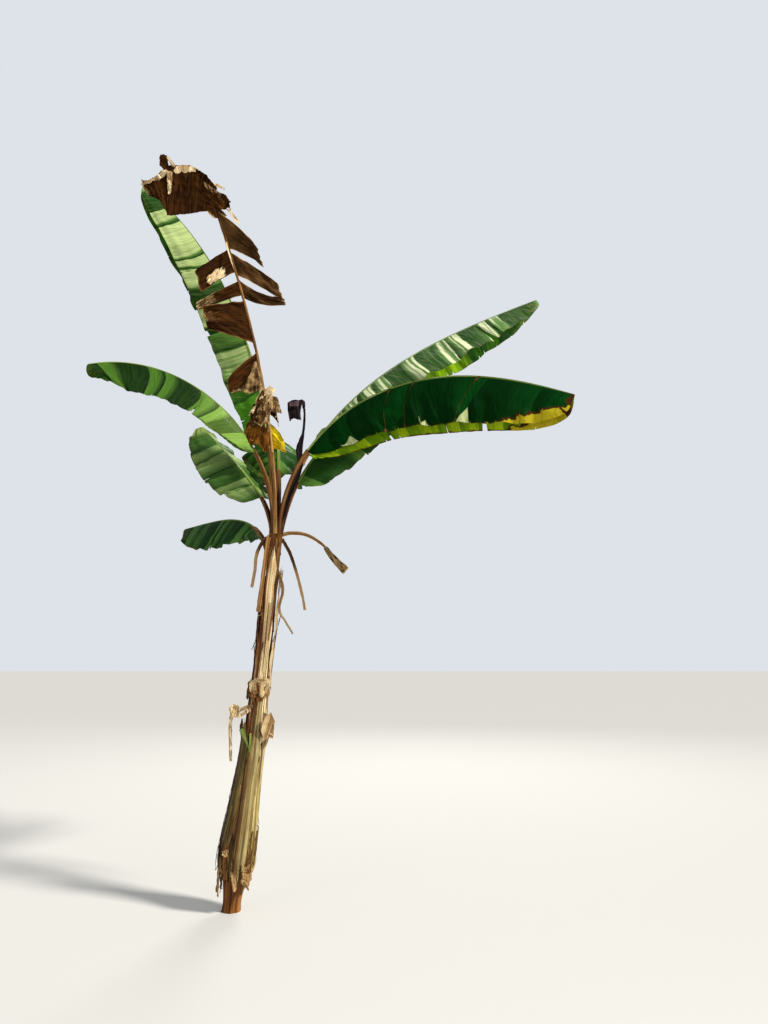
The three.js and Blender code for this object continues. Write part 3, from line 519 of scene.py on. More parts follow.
def seeded(seed):
    """Whole numbers under 2^32 in a fixed order, the same as in the model."""
    state = seed

    def draw():
        nonlocal state
        state = (state * 1664525 + 1013904223) % 4294967296
        return state / 4294967296

    return draw


def heading(azimuth, rise):
    """The unit vector at an azimuth and a rise above the horizon, in degrees."""
    a, r = np.broadcast_arrays(np.radians(azimuth), np.radians(rise))
    return np.stack([np.cos(r) * np.cos(a), np.cos(r) * np.sin(a), np.sin(r)], -1)


def unit(vectors):
    length = np.linalg.norm(vectors, axis=-1, keepdims=True)
    return vectors / np.maximum(length, 1e-9)


def normals(grid):
    return unit(np.cross(np.gradient(grid, axis=1), np.gradient(grid, axis=0)))


def pair(a, b):
    return np.stack(np.broadcast_arrays(a, b), -1)


def net(size, low=0, high=1):
    """The places of a grid: from 0 to 1 down its rows, and from low to high across its columns."""
    return np.linspace(0, 1, size[0])[:, None], np.linspace(low, high, size[1])[None, :]


def ripples(x, y, seed, count=5, low=0.6, high=2.4):
    """A smooth uneven field of about one unit, made of sines in random directions."""
    draw = seeded(seed)
    field = 0
    for _ in range(count):
        turn = 2 * math.pi * draw()
        rate = mix(low, high, draw())
        phase = 2 * math.pi * draw()
        field = field + np.sin(2 * math.pi * rate * (x * math.cos(turn) + y * math.sin(turn)) + phase)
    return field / math.sqrt(count)


def fringe(x, seed, depth):
    """A torn edge: how far each place across falls short, in long and short jags."""
    draw = seeded(seed)
    short = 0 * x
    for rate, share in ((3, 0.5), (8, 0.3), (21, 0.2)):
        saw = (x * rate + draw()) % 1
        short = short + share * (1 - np.abs(2 * saw - 1)) * (0.4 + 0.6 * draw())
    return depth * short


def soften(values, count):
    """The running mean of a grid along its rows, with the ends held."""
    padded = np.concatenate([values[:1]] * count + [values] + [values[-1:]] * count)
    return sum(padded[k : k + len(values)] for k in range(2 * count + 1)) / (2 * count + 1)


def between(a, b, c, d, t):
    """The smooth curve from b to c, with a before them and d after."""
    return 0.5 * (2 * b + (c - a) * t + (2 * a - 5 * b + 4 * c - d) * t**2 + (3 * b - a - 3 * c + d) * t**3)


def at_shares(points, places):
    """Points at shares of a line whose points are evenly spread."""
    marks = np.linspace(0, 1, len(points))
    return np.stack([np.interp(places, marks, points[:, k]) for k in range(3)], -1)


def polyline(points, places):
    """Points at shares of the length of a line through the given ones."""
    p = np.array(points, float)
    run = np.concatenate([[0], np.cumsum(np.linalg.norm(np.diff(p, axis=0), axis=1))])
    return np.stack([np.interp(places * run[-1], run, p[:, k]) for k in range(3)], -1)


def sample(grid, row, column):
    """Points of a grid at places between its rows and columns."""
    r = np.clip(row.astype(int), 0, grid.shape[0] - 2)
    c = np.clip(column.astype(int), 0, grid.shape[1] - 2)
    y = (row - r)[..., None]
    x = (column - c)[..., None]
    return mix(mix(grid[r, c], grid[r, c + 1], x), mix(grid[r + 1, c], grid[r + 1, c + 1], x), y)


def stem_axis(z):
    bow = STEM_BOW * np.sin(math.pi * np.minimum(z / STEM_HEIGHT, 1)) ** 2
    return np.stack([STEM_LEAN * z + bow, 0 * z, z], -1)


def stem_radius(z):
    left = np.maximum(0, 1 - z / STEM_HEIGHT)
    taper = STEM_TOP_RADIUS + (STEM_FOOT_RADIUS - STEM_TOP_RADIUS) * left**STEM_TAPER
    return taper * (1 - WAIST * hump(z, WAIST_HEIGHT)) + FLARE * np.exp(-z / FLARE_HEIGHT)


def around_stem(z, azimuth, radius):
    z, azimuth, radius = np.broadcast_arrays(np.asarray(z, float), azimuth, radius)
    return stem_axis(z) + heading(azimuth, 0) * radius[..., None]


def bent_line(start, length, line, places):
    """Points, directions, sides and normals along a bent line, at shares of its length."""
    steps = 3000
    rise0, rise1 = line["rise"]

    def rise_at(s):
        return rise1 + (rise0 - rise1) * np.maximum(0, 1 - s) ** line["bend"]

    s = (np.arange(steps) + 0.5) / steps
    path = np.cumsum(heading(mix(*line["azimuth"], s), rise_at(s)) * length / steps, 0)
    places = np.asarray(places, float)
    azimuth = mix(*line["azimuth"], places)
    direction = heading(azimuth, rise_at(places))
    level = heading(azimuth - 90, 0 * azimuth)
    plain = np.cross(level, direction)
    roll = math.radians(line.get("roll", 0))
    return dict(
        point=at_shares(np.vstack([start, start + path]), places),
        direction=direction,
        side=level * math.cos(roll) + plain * math.sin(roll),
        normal=plain * math.cos(roll) - level * math.sin(roll),
    )


def leaf_line(leaf, places):
    """The line of a petiole and its blade, at shares of their length together."""
    z, azimuth, out = leaf["foot"]
    return bent_line(around_stem(z, azimuth, out), leaf["petiole"] + leaf["blade"], leaf, places)


class Bundle:
    """Gathers surfaces into one mesh. Each face corner has a share, its place on the surface from 0
    to 1 both ways, and a grain, in metres across and along the fibres."""

    def __init__(self):
        self.points = []
        self.faces = []
        self.corners = []
        self.looks = []
        self.maps = {"share": [], "grain": []}
        self.count = 0
        self.marks = 0

    def add(self, points, faces, corners, share, grain, looks):
        self.points.append(points.reshape(-1, 3))
        self.maps["share"].append(share.reshape(-1, 2))
        self.maps["grain"].append(grain.reshape(-1, 2))
        self.faces += [[i + self.count for i in face] for face in faces]
        self.corners += [i + self.marks for corner in corners for i in corner]
        self.looks += looks
        self.count += len(self.points[-1])
        self.marks += len(self.maps["share"][-1])

    def shell(self, grid, skin, share, grain, looks=(0, 1), plain=None):
        """A thin closed sheet about a grid of points, with one look above and one below. plain is the
        same grid without tears, where the sheet has some."""
        rows, columns = grid.shape[:2]
        size = rows * columns
        lift = normals(grid if plain is None else plain) * skin / 2
        points = np.concatenate([(grid + lift).reshape(-1, 3), (grid - lift).reshape(-1, 3)])
        index = np.arange(size).reshape(rows, columns)
        quads = np.stack([index[:-1, :-1], index[:-1, 1:], index[1:, 1:], index[1:, :-1]], -1).reshape(-1, 4)
        loop = np.concatenate([index[0, :-1], index[:-1, -1], index[-1, :0:-1], index[:0:-1, 0]])
        after = np.roll(loop, -1)
        rim = np.stack([after, loop, loop + size, after + size], -1)
        below = quads[:, [0, 3, 2, 1]] + size
        faces = np.concatenate([quads, below, rim]).tolist()
        both = [np.concatenate([part.reshape(-1, 2)] * 2) for part in (share, grain)]
        above, under = looks
        dealt = [above] * len(quads) + [under] * len(quads) + [above] * len(rim)
        self.add(points, faces, faces, *both, dealt)

    def tube(self, rings, along, girth, look=0):
        """A closed tube through rings of points. along and girth are its length and its way round."""
        rows, sides = rings.shape[:2]
        share = pair(np.linspace(0, 1, sides + 1), np.linspace(0, 1, rows)[:, None])
        faces = []
        corners = []
        for r in range(rows - 1):
            for i in range(sides):
                j = (i + 1) % sides
                faces.append([r * sides + i, r * sides + j, (r + 1) * sides + j, (r + 1) * sides + i])
                low = r * (sides + 1) + i
                corners.append([low, low + 1, low + sides + 2, low + sides + 1])
        first = list(range(sides))[::-1]
        faces += [first, [(rows - 1) * sides + i for i in range(sides)]]
        corners += [first, [(rows - 1) * (sides + 1) + i for i in range(sides)]]
        self.add(rings, faces, corners, share, share * np.array([girth, along]), [look] * len(faces))

    def finish(self, name, materials, slot, *nodes):
        """The piece, with its materials, hiding the model's nodes that it stands for. slot is not used."""
        mesh = bpy.data.meshes.new(name)
        mesh.from_pydata(np.concatenate(self.points).tolist(), [], self.faces)
        for key, parts in self.maps.items():
            values = np.concatenate(parts)[np.array(self.corners)]
            mesh.uv_layers.new(name=key).data.foreach_set("uv", values.astype(np.float32).ravel())
        for material in materials:
            mesh.materials.append(material)
        mesh.polygons.foreach_set("material_index", self.looks)
        mesh.polygons.foreach_set("use_smooth", [True] * len(self.faces))
        mesh.set_sharp_from_angle(angle=math.radians(SHARP_ANGLE))
        mesh.update()
        piece = bpy.data.objects.new(name, mesh)
        bpy.context.scene.collection.objects.link(piece)
        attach(piece, "root")
        if nodes:
            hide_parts(*nodes)


# Materials


class Shader:
    """A material's nodes, with short calls for the kinds that the plant needs."""

    def __init__(self, name, roughness, specular):
        self.material = bpy.data.materials.new(name)
        self.material.use_nodes = True
        self.tree = self.material.node_tree
        self.shader = self.tree.nodes["Principled BSDF"]
        self.shader.inputs["Roughness"].default_value = roughness
        self.shader.inputs["Specular IOR Level"].default_value = specular

    def node(self, kind, inputs, **settings):
        made = self.tree.nodes.new(kind)
        for key, value in settings.items():
            setattr(made, key, value)
        for key, value in inputs.items():
            if isinstance(value, bpy.types.NodeSocket):
                self.tree.links.new(value, made.inputs[key])
            else:
                made.inputs[key].default_value = value
        return made

    def map(self, name, scale=(1, 1), shift=0.0):
        uv = self.node("ShaderNodeUVMap", {}, uv_map=name)
        mapping = self.node("ShaderNodeMapping", {"Vector": uv.outputs[0]})
        mapping.inputs["Scale"].default_value = (*scale, 1)
        mapping.inputs["Location"].default_value = (shift, shift * 0.7, shift * 0.3)
        return mapping.outputs[0]

    def axes(self, name):
        split = self.node("ShaderNodeSeparateXYZ", {0: self.map(name)})
        return split.outputs[0], split.outputs[1]

    def noise(self, vector, detail, scale=1.0, rough=0.5):
        values = {"Vector": vector, "Scale": scale, "Detail": detail, "Roughness": rough}
        return self.node("ShaderNodeTexNoise", values, noise_dimensions="3D").outputs[0]

    def spots(self, scale, seed, detail, rough=0.5):
        """Noise along the grain, at so many spots in a metre across and along."""
        return self.noise(self.map("grain", scale, seed), detail, rough=rough)

    def math(self, operation, a, b=0.0, clamp=False):
        return self.node("ShaderNodeMath", {0: a, 1: b}, operation=operation, use_clamp=clamp).outputs[0]

    def times(self, a, b, clamp=False):
        return self.math("MULTIPLY", a, b, clamp)

    def plus(self, a, b, clamp=False):
        return self.math("ADD", a, b, clamp)

    def centred(self, value, scale):
        """A value that runs about 0.5, made to run about 0."""
        return self.times(self.math("SUBTRACT", value, 0.5), scale)

    def off_middle(self, across):
        """From 0 in the middle of a surface to 1 at its margins."""
        return self.math("ABSOLUTE", self.math("SUBTRACT", self.times(across, 2.0), 1.0))

    def range(self, value, low, high, to_low=0.0, to_high=1.0):
        values = {0: value, 1: low, 2: high, 3: to_low, 4: to_high}
        return self.node("ShaderNodeMapRange", values, interpolation_type="SMOOTHSTEP", clamp=True).outputs[0]

    def blend(self, share, a, b):
        pale_a, pale_b = ((*value, 1) if isinstance(value, tuple) else value for value in (a, b))
        values = {"Factor": share, 6: pale_a, 7: pale_b}
        return self.node("ShaderNodeMix", values, data_type="RGBA").outputs[2]

    def bump(self, height, strength, distance):
        made = self.node("ShaderNodeBump", {"Height": height, "Strength": strength, "Distance": distance})
        self.set("Normal", made.outputs[0])

    def set(self, key, value):
        self.tree.links.new(value, self.shader.inputs[key])


def scaled(colour, factor, more=0):
    return tuple(min(1, factor * c + more) for c in colour)


def fold_light(s, look, vein_place, seed):
    """How light the folds of a blade are: they catch the light at their crests, and some are dark."""
    warp = s.spots((2.2, 0.7), seed, 1.0)
    phase = s.plus(s.times(vein_place, look["folds"]), s.times(warp, look["uneven"]))
    step = s.times(s.math("FLOOR", phase), 5.37)
    values = {"W": step, "Detail": 0.0, "Scale": 1.0}
    level = s.node("ShaderNodeTexNoise", values, noise_dimensions="1D").outputs[0]
    saw = s.math("FRACT", phase)
    lit = s.times(s.range(saw, 0.0, look["ramp"]), s.range(saw, 1.0, 0.94))
    return s.times(lit, s.range(level, look["shade"], look["shade"] + 0.1, 0.06, 1.0))


def tip_colours(s, colour, burnt_colour, side, along, patch):
    """A burnt border with pale yellow outside it, and a brown end."""
    ragged = s.centred(patch, 0.4)
    border = s.plus(s.plus(side, ragged), s.range(along, 0.72, 0.97, 0.0, 0.34))
    burnt = s.times(s.range(border, 0.96, 1.0), s.range(along, 0.74, 0.8))
    colour = s.blend(burnt, colour, burnt_colour)
    pale = s.times(s.range(border, 1.03, 1.07), s.range(along, 0.68, 0.74))
    colour = s.blend(pale, colour, PALE_BORDER)
    end = s.plus(along, s.times(ragged, 0.4))
    return s.blend(s.range(end, 0.982, 0.992), colour, burnt_colour)


def blade_material(name, side_name, look, dry, seed):
    """A living blade: fine veins that leave the rib, folds that catch the light, a dry tip and margin."""
    dark, *middle, light = look[side_name]
    s = Shader(name, look["gloss"], look["shine"])
    across, along = s.axes("share")
    vein_place, out = s.axes("grain")
    vein_place = s.plus(vein_place, s.times(out, look["slant"]))
    side = s.off_middle(across)
    lit = fold_light(s, look, vein_place, seed)
    slanted = s.node("ShaderNodeCombineXYZ", {0: vein_place, 1: s.times(out, 0.02)}).outputs[0]
    pleat = s.noise(slanted, 1.0, look["pleats"])
    vein = s.spots((420, 5), seed + 5, 2.0, 0.7)
    patch = s.spots((16, 16), seed + 9, 4.0)
    # The fine pleats are painted highlight lines, brighter on the folds that are painted lit.
    narrow = s.times(s.range(pleat, 0.5 - look["crisp"], 0.5 + look["crisp"]), s.plus(0.2, lit))
    share = s.times(lit, 1 - look["fine"])
    share = s.plus(share, s.times(narrow, look["fine"]), True)
    colour = s.blend(share, dark, light)
    if middle:
        colour = s.blend(s.range(share, 0.0, 0.55), dark, middle[0])
        colour = s.blend(s.range(share, 0.5, 1.0), colour, light)
    base = look.get(f"{side_name}_base", look.get("base"))
    if base:
        tint, far, close = base
        near = s.times(s.range(along, far, close), s.plus(0.25, share), True)
        colour = s.blend(near, colour, tint)
    colour = s.blend(s.range(vein, 0.5, 0.72, 0.0, 0.2), colour, scaled(light, 1.35, 0.004))
    colour = s.blend(s.range(vein, 0.5, 0.3, 0.0, 0.4), colour, scaled(dark, 0.45))
    colour = s.blend(s.range(side, 0.04, 0.02), colour, RIB_LINE)
    yellow = s.times(s.range(patch, 0.42, 0.6), s.range(along, 0.84, 0.97, 0.0, dry), True)
    colour = s.blend(yellow, colour, YELLOW_TIP)
    edge = s.plus(side, s.centred(patch, 0.1))
    colour = s.blend(s.range(edge, 0.965, 0.99, 0.0, min(1, look["rim"] + dry)), colour, DRY_MARGIN)
    if "tip" in look:
        colour = tip_colours(s, colour, look["tip"], side, along, patch)
    s.set("Base Color", colour)
    s.set("Roughness", s.range(patch, 0.3, 0.7, look["gloss"] - 0.06, look["gloss"] + 0.14))
    s.bump(s.plus(s.times(vein, 0.5), s.plus(pleat, share)), 0.3, 0.004)
    return s.material


def fibre_material(name, colours, streak, length, rough, relief, seed, blotch=5.0, dull=0.5, far=None):
    """Dry fibrous tissue: long streaks from dark to light along the grain, with broad blotches. far is
    the colour that a limb turns to past its middle."""
    s = Shader(name, rough, 0.1)
    wide = s.spots((streak * 0.28, length * 0.7), seed, 3.0)
    fine = s.spots((streak * 2.2, length * 1.3), seed + 2, 4.0, 0.65)
    hair = s.spots((streak * 9, length * 2.2), seed + 4, 2.0, 0.7)
    blot = s.spots((blotch, blotch * 0.6), seed + 6, 3.0)
    dark, middle, light = colours
    colour = s.blend(s.range(s.plus(wide, s.times(fine, 0.6)), 0.62, 0.98), dark, middle)
    colour = s.blend(s.range(s.plus(fine, s.times(blot, 0.5)), 0.72, 0.95), colour, light)
    if far:
        colour = s.blend(s.range(s.axes("share")[1], 0.38, 0.55, 0.0, 0.85), colour, far)
    colour = s.blend(s.range(hair, 0.56, 0.74, 0.0, dull), colour, scaled(dark, 0.45))
    s.set("Base Color", colour)
    s.set("Roughness", s.range(fine, 0.3, 0.7, rough - 0.1, min(1.0, rough + 0.1)))
    s.bump(s.plus(fine, s.times(hair, 0.5)), relief, 0.006)
    return s.material


def torn_material(name, colours, edge, seed, patches=(9, 5)):
    """Dead blade: smooth dark tissue with faint veins, broad blotches and a thin pale brittle margin."""
    dark, light = colours
    s = Shader(name, 0.75, 0.03)
    across, along = s.axes("share")
    vein = s.spots((200, 4), seed, 2.0, 0.7)
    blot = s.spots(patches, seed + 2, 4.0, 0.6)
    fleck = s.spots((70, 40), seed + 4, 3.0, 0.7)
    colour = s.blend(s.range(blot, 0.4, 0.65), dark, light)
    colour = s.blend(s.range(vein, 0.48, 0.7, 0.0, 0.5), colour, tuple(1.9 * c for c in light))
    colour = s.blend(s.range(vein, 0.48, 0.3, 0.0, 0.5), colour, scaled(dark, 0.5))
    rim = s.math("MAXIMUM", s.range(s.off_middle(across), 0.93, 0.99), s.range(along, 0.94, 1.0))
    rim = s.times(rim, s.range(s.plus(blot, s.times(fleck, 0.5)), 0.6, 0.78))
    s.set("Base Color", s.blend(rim, colour, edge))
    s.bump(s.plus(s.times(vein, 0.6), fleck), 0.5, 0.004)
    return s.material


def sheath_material(name, sides, seed, gloss=0.55, gaps=0.9, change=0.5):
    """A dry sheath: smooth skin in long bands, from dark to light, whose colours change from one margin to
    the other at a share of its width. gaps is how dark the lines between the bands are."""
    s = Shader(name, gloss, 0.15)
    across, _ = s.axes("share")
    broad = s.spots((16, 0.5), seed, 2.0)
    streak = s.spots((70, 0.9), seed + 2, 3.0, 0.6)
    fine = s.spots((330, 3), seed + 4, 3.0, 0.7)
    blot = s.spots((7, 4), seed + 6, 4.0, 0.6)
    (left_dark, left_light), (right_dark, right_light) = sides
    turn = s.range(s.plus(across, s.centred(broad, 1.1)), change - 0.1, change + 0.1)
    dark = s.blend(turn, left_dark, right_dark)
    light = s.blend(turn, left_light, right_light)
    colour = s.blend(s.range(s.plus(streak, s.times(blot, 0.4)), 0.58, 0.84), dark, light)
    colour = s.blend(s.range(fine, 0.58, 0.75, 0.0, 0.35), colour, FIBRE_LINE)
    colour = s.blend(s.range(broad, 0.44, 0.38, 0.0, gaps), colour, BAND_GAP)
    colour = s.blend(s.range(streak, 0.38, 0.32, 0.0, gaps), colour, STREAK_GAP)
    s.set("Base Color", colour)
    s.bump(s.plus(s.times(fine, 0.5), streak), 0.5, 0.005)
    return s.material


# Green leaves


def splits(count, draw):
    """Long tears between the veins: place along the blade, depth and half width."""
    found = []
    for i in range(count):
        at = mix(0.14, 0.9, (i + 0.2 + 0.6 * draw()) / count)
        deep = mix(0.55, 0.9, draw())
        found.append((at, deep, mix(0.006, 0.012, draw())))
    return found


def nicks(count, draw):
    """Small tears of the margin, which only the fine blade has."""
    found = []
    for i in range(count):
        at = mix(0.08, 0.97, (i + draw()) / count)
        deep = mix(0.04, 0.22, draw() ** 2)
        found.append((at, deep, mix(0.0012, 0.003, draw())))
    return found


def torn_share(b, tears):
    worst = 0 * b
    for at, deep, gap in tears:
        worst = np.maximum(worst, deep * np.maximum(0, 1 - np.abs(b - at) / gap))
    return worst


def blade_rows(tears):
    """Places along a blade, closer at its ends and at its tears."""
    x = np.linspace(0, 1, BLADE_ROWS)
    even = mix(x, 0.5 - 0.5 * np.cos(math.pi * x), 0.55)
    marks = [at + step * gap for at, _, gap in tears for step in (-1, -0.5, 0, 0.5, 1)]
    return np.unique(np.clip(np.concatenate([even, marks]), 0, 1).round(6))


def blade_half(leaf, look, line, b, tears, phases, side):
    """One half of a blade from its rib outwards, in the model's own curve, with fine pleats on it. Its
    points, share and grain."""
    hand = (-1, 1)[side]
    t = np.linspace(0, 1, HALF_COLUMNS + 1)[None, :]
    sweep = BLADE_SWEEP * (1 - leaf.get("cut", 0) * smooth(0.8, 1, b))[:, None]
    power = np.where(b**BLADE_SKEW < 0.5, BLADE_BLUNT, leaf.get("tip", BLADE_BLUNT))
    outline = np.sin(math.pi * np.clip(b, 0.004, 0.999) ** BLADE_SKEW) ** power
    outline = outline * (1 + leaf.get("wider", 0) * smooth(0.25, 0.55, b) * smooth(1, 0.85, b))
    w = (leaf["half"][side] * outline * (1 - torn_share(b, tears)))[:, None]
    wave = 0
    for (swing, count), phase in zip(BLADE_WAVES, phases):
        wave = wave + swing * np.sin(2 * math.pi * (count * b + phase + (0.3, 0)[side]))
    wave = look["calm"] * wave
    inner = np.radians(leaf["fold"][side][0] + wave * INNER_WAVE)[:, None]
    outer = np.radians(leaf["fold"][side][1] + wave)[:, None]
    angle = mix(inner, outer, t)
    out = w * (np.sin(angle) - np.sin(inner)) / (outer - inner)
    drop = w * (np.cos(inner) - np.cos(angle)) / (outer - inner)
    vein = leaf["blade"] * b[:, None] - 0.25 * w * t**1.6
    swell = 0.6 + 0.4 * np.sin(2 * math.pi * 1.7 * b[:, None] + 4 * phases[0])
    uneven = ripples(vein * 5, t * 1.5, leaf["seed"] + side, 4)
    pleat = PLEAT * swell * np.sin(2 * math.pi * PLEATS_PER_METRE * vein + 2.2 * uneven) * np.sqrt(t)
    pleat = pleat + BULGE * (1 + uneven) * t
    at = {key: value[:, None, :] for key, value in line.items()}
    grid = at["point"] + at["side"] * hand * (out + pleat * np.sin(angle))[..., None]
    grid = grid + at["normal"] * (pleat * np.cos(angle) - drop)[..., None]
    grid = grid + at["direction"] * (w * sweep * t * t)[..., None]
    return grid, pair(0.5 + 0.5 * hand * t, b[:, None]), pair(vein + hand * 3, w * t)


def join_halves(left, right):
    return np.concatenate([left[:, ::-1], right[:, 1:]], 1)


def skin_patch(bundle, half, line, b, span, start, lift, look, end=1):
    """A thin patch on the near half of a blade. start is where it begins across, at each place of span,
    and end where it stops. Its hem lies nearer to the leaf's base."""
    places = np.linspace(*span, len(start))[:, None]
    t = mix(np.array(start)[:, None], end, np.linspace(0, 1, 12)[None, :])
    row = np.interp(places - SEAM_LEAN * t, b, np.arange(len(b)))
    column = t * (half.shape[1] - 1)
    side = np.broadcast_to(line["side"][:, None, :], half.shape)
    grid = sample(half, row, column) + sample(side, row, column) * lift
    bundle.shell(grid, BLADE_SKIN, pair(0.75 + 0 * t, places), pair(places * 2, t * 0.3), (look, look))


def low_leaf_marks(bundle, half, line, b, folded, seam):
    """The seams of the low right leaf, and the corners of its hem that are folded over."""
    for place, width in SEAMS:
        span = (place - width / 2, place + width / 2)
        skin_patch(bundle, half, line, b, span, (0.01, 0.01, 0.01), 0.0025, seam)
        spot = (place - 4 * width, place + 4 * width)
        skin_patch(bundle, half, line, b, spot, (0.95, 0.9, 0.96), 0.0035, seam)
        skin_patch(bundle, half, line, b, spot, (0.02, 0.0, 0.03), 0.0035, seam, 0.12)
    for low, high, height in HEM_FOLDS:
        peak = np.linspace(0, 1, 12)
        rise = np.minimum(peak / 0.55, (1 - peak) / 0.45)
        skin_patch(bundle, half, line, b, (low, high), 1 - height * rise, 0.009, folded)


def midrib(bundle, leaf, line, b, look):
    """The rib under the blade, half round, with a shallow groove above."""
    keep = np.arange(0, len(b), 4)
    s = b[keep] ** 0.8
    half = mix(0.013, 0.0025, s)[:, None]
    keel = mix(0.016, 0.003, s)[:, None]
    turns = np.linspace(0, 2 * math.pi, 12, endpoint=False)[None, :]
    across = np.cos(turns) * half
    depth = np.where(np.sin(turns) > 0, 0.16, 1.0) * np.sin(turns) * keel
    rings = ring_points({key: value[keep] for key, value in line.items()}, across, depth)
    bundle.tube(rings[:, ::-1], leaf["blade"], 0.06, look)


def make_leaf(name, leaf):
    look = LEAF_LOOKS[name]
    draw = seeded(leaf["seed"])
    count = leaf.get("tears", 1)
    tears = [splits(count, draw), splits(count, draw)]
    if name == "right_low":
        tears[1] = []
    phases = [draw() for _ in BLADE_WAVES]
    for side, number in enumerate(leaf.get("nicks", (9, 9))):
        tears[side] = tears[side] + nicks(number, draw)
    b = blade_rows(tears[0] + tears[1])
    begin = leaf["petiole"] / (leaf["petiole"] + leaf["blade"])
    line = leaf_line(leaf, mix(begin, leaf.get("end", 1), b))
    halves = [blade_half(leaf, look, line, b, tears[side], phases, side) for side in (0, 1)]
    whole = [blade_half(leaf, look, line, b, [], phases, side)[0] for side in (0, 1)]
    grid, share, grain = (join_halves(left, right) for left, right in zip(*halves))
    keys = ("midrib", "pale_leaf", "seam")
    rib, folded, seam = (2 + keys.index(key) for key in keys)
    bundle = Bundle()
    bundle.shell(grid, BLADE_SKIN, share, grain, plain=join_halves(*whole))
    midrib(bundle, leaf, line, b, rib)
    if name == "right_low":
        low_leaf_marks(bundle, halves[1][0], line, b, folded, seam)
        make_scrap(bundle, LEAF_LOBE, folded, 41)
    upper = blade_material(f"blade_{name}_upper", "upper", look, look["dry"][0], leaf["seed"])
    under = blade_material(f"blade_{name}_under", "under", look, look["dry"][1], leaf["seed"] + 20)
    others = [MATERIALS[key] for key in keys]
    bundle.finish(f"blade_{name}", [upper, under] + others, "green_blade", f"leaf_{name}")


# Petioles and other limbs


def ring_points(line, across, depth):
    """Rings about a line, from how far their points lie to the side and along the normal."""
    rings = line["point"][:, None, :] + line["side"][:, None, :] * across[..., None]
    return rings + line["normal"][:, None, :] * depth[..., None]


def petiole_section(count):
    """Points on a smooth closed curve through the section's corners."""
    p = np.array(PETIOLE_SECTION, float)
    place = np.linspace(0, len(p), count, endpoint=False)
    i = place.astype(int)
    corners = (p[(i + step) % len(p)] for step in (-1, 0, 1, 2))
    return between(*corners, (place - i)[:, None])


def limb(bundle, line, half, depth, length, look=0, rough=0.0006, seed=1, sides=28):
    """A grooved limb along a line. rough is how uneven its skin is, in metres."""
    x, y = petiole_section(sides).T
    rings = ring_points(line, x * half[:, None], y * depth[:, None])
    around = np.linspace(0, 6, sides, endpoint=False)[None, :]
    along = np.linspace(0, 1, len(half))[:, None] * length
    bump = rough * ripples(np.cos(around) * 2, along * 12 + np.sin(around), seed, 6)
    middle = line["point"][:, None, :]
    rings = middle + (rings - middle) * (1 + bump / np.maximum(half, 0.004)[:, None])[..., None]
    bundle.tube(rings, length, 4 * float(np.mean(half)), look)


def make_petiole(name, leaf, material, slot):
    reach = leaf["petiole"] * 1.02 / (leaf["petiole"] + leaf["blade"])
    t = np.linspace(0, 1, 70)
    flare = np.exp(-t / 0.07)
    half = mix(*PETIOLE_WIDTH, t) * (1 + 0.35 * flare)
    depth = mix(*PETIOLE_DEPTH, t) * (1 + 0.2 * flare)
    bundle = Bundle()
    limb(bundle, leaf_line(leaf, reach * t), half, depth, leaf["petiole"], seed=leaf.get("seed", 5))
    bundle.finish(f"stalk_{name}", [material], slot, f"petiole_{name}")


def spread(values, t):
    return np.interp(t, np.linspace(0, 1, len(values)), values)


def strand_line(points, count):
    """A smooth line through points, with its flat side to the front."""
    p = np.array(points, float)
    ends = np.vstack([2 * p[0] - p[1], p, 2 * p[-1] - p[-2]])
    place = np.linspace(0, len(p) - 1, count)
    i = np.minimum(place.astype(int), len(p) - 2)
    point = between(ends[i], ends[i + 1], ends[i + 2], ends[i + 3], (place - i)[:, None])
    direction = unit(np.gradient(point, axis=0))
    side = unit(np.cross(direction, np.broadcast_to([0, -1, 0], direction.shape)))
    return dict(point=point, direction=direction, side=side, normal=np.cross(side, direction))


def make_strand(name, count=60, rough=0.0012):
    look, slot, width, depth, points = STRANDS[name]
    line = strand_line(points, count)
    t = np.linspace(0, 1, count)
    length = float(np.linalg.norm(np.diff(line["point"], axis=0), axis=1).sum())
    bundle = Bundle()
    limb(bundle, line, spread(width, t), spread(depth, t), length, rough=rough, seed=len(name), sides=20)
    bundle.finish(f"{name}_fine", [MATERIALS[look]], slot, name)


# Pseudostem and dry sheaths


def sheath_under(shape, t):
    """How far a sheath's inner face stands off the stem, from its foot to its head."""
    return mix(*shape["lift"], t**2) + shape["bulge"] * np.sin(math.pi * t ** shape["crest"]) ** 2


def sheath_span(shape, z):
    """A height as a share of a sheath's, and the sheath's span there."""
    low, high = shape["z"]
    place = (z - low) / (high - low)
    return place, shape["span"] * mix(1, shape["point"], np.clip(place, 0, 1) ** 2.5)


def outer_radius(z, azimuth):
    """How far the outermost sheath reaches at a height and an azimuth."""
    z, azimuth = np.broadcast_arrays(np.asarray(z, float), np.asarray(azimuth, float))
    reach = stem_radius(z)
    for shape in SHEATHS.values():
        t, width = sheath_span(shape, z)
        apart = np.abs((azimuth - shape["centre"] + 180) % 360 - 180)
        inside = (t >= 0) & (t <= 1) & (apart < width / 2)
        radius = stem_radius(z) + SEAT + sheath_under(shape, np.clip(t, 0, 1)) + SHEATH_THICKNESS
        reach = np.where(inside, np.maximum(reach, radius), reach)
    return reach


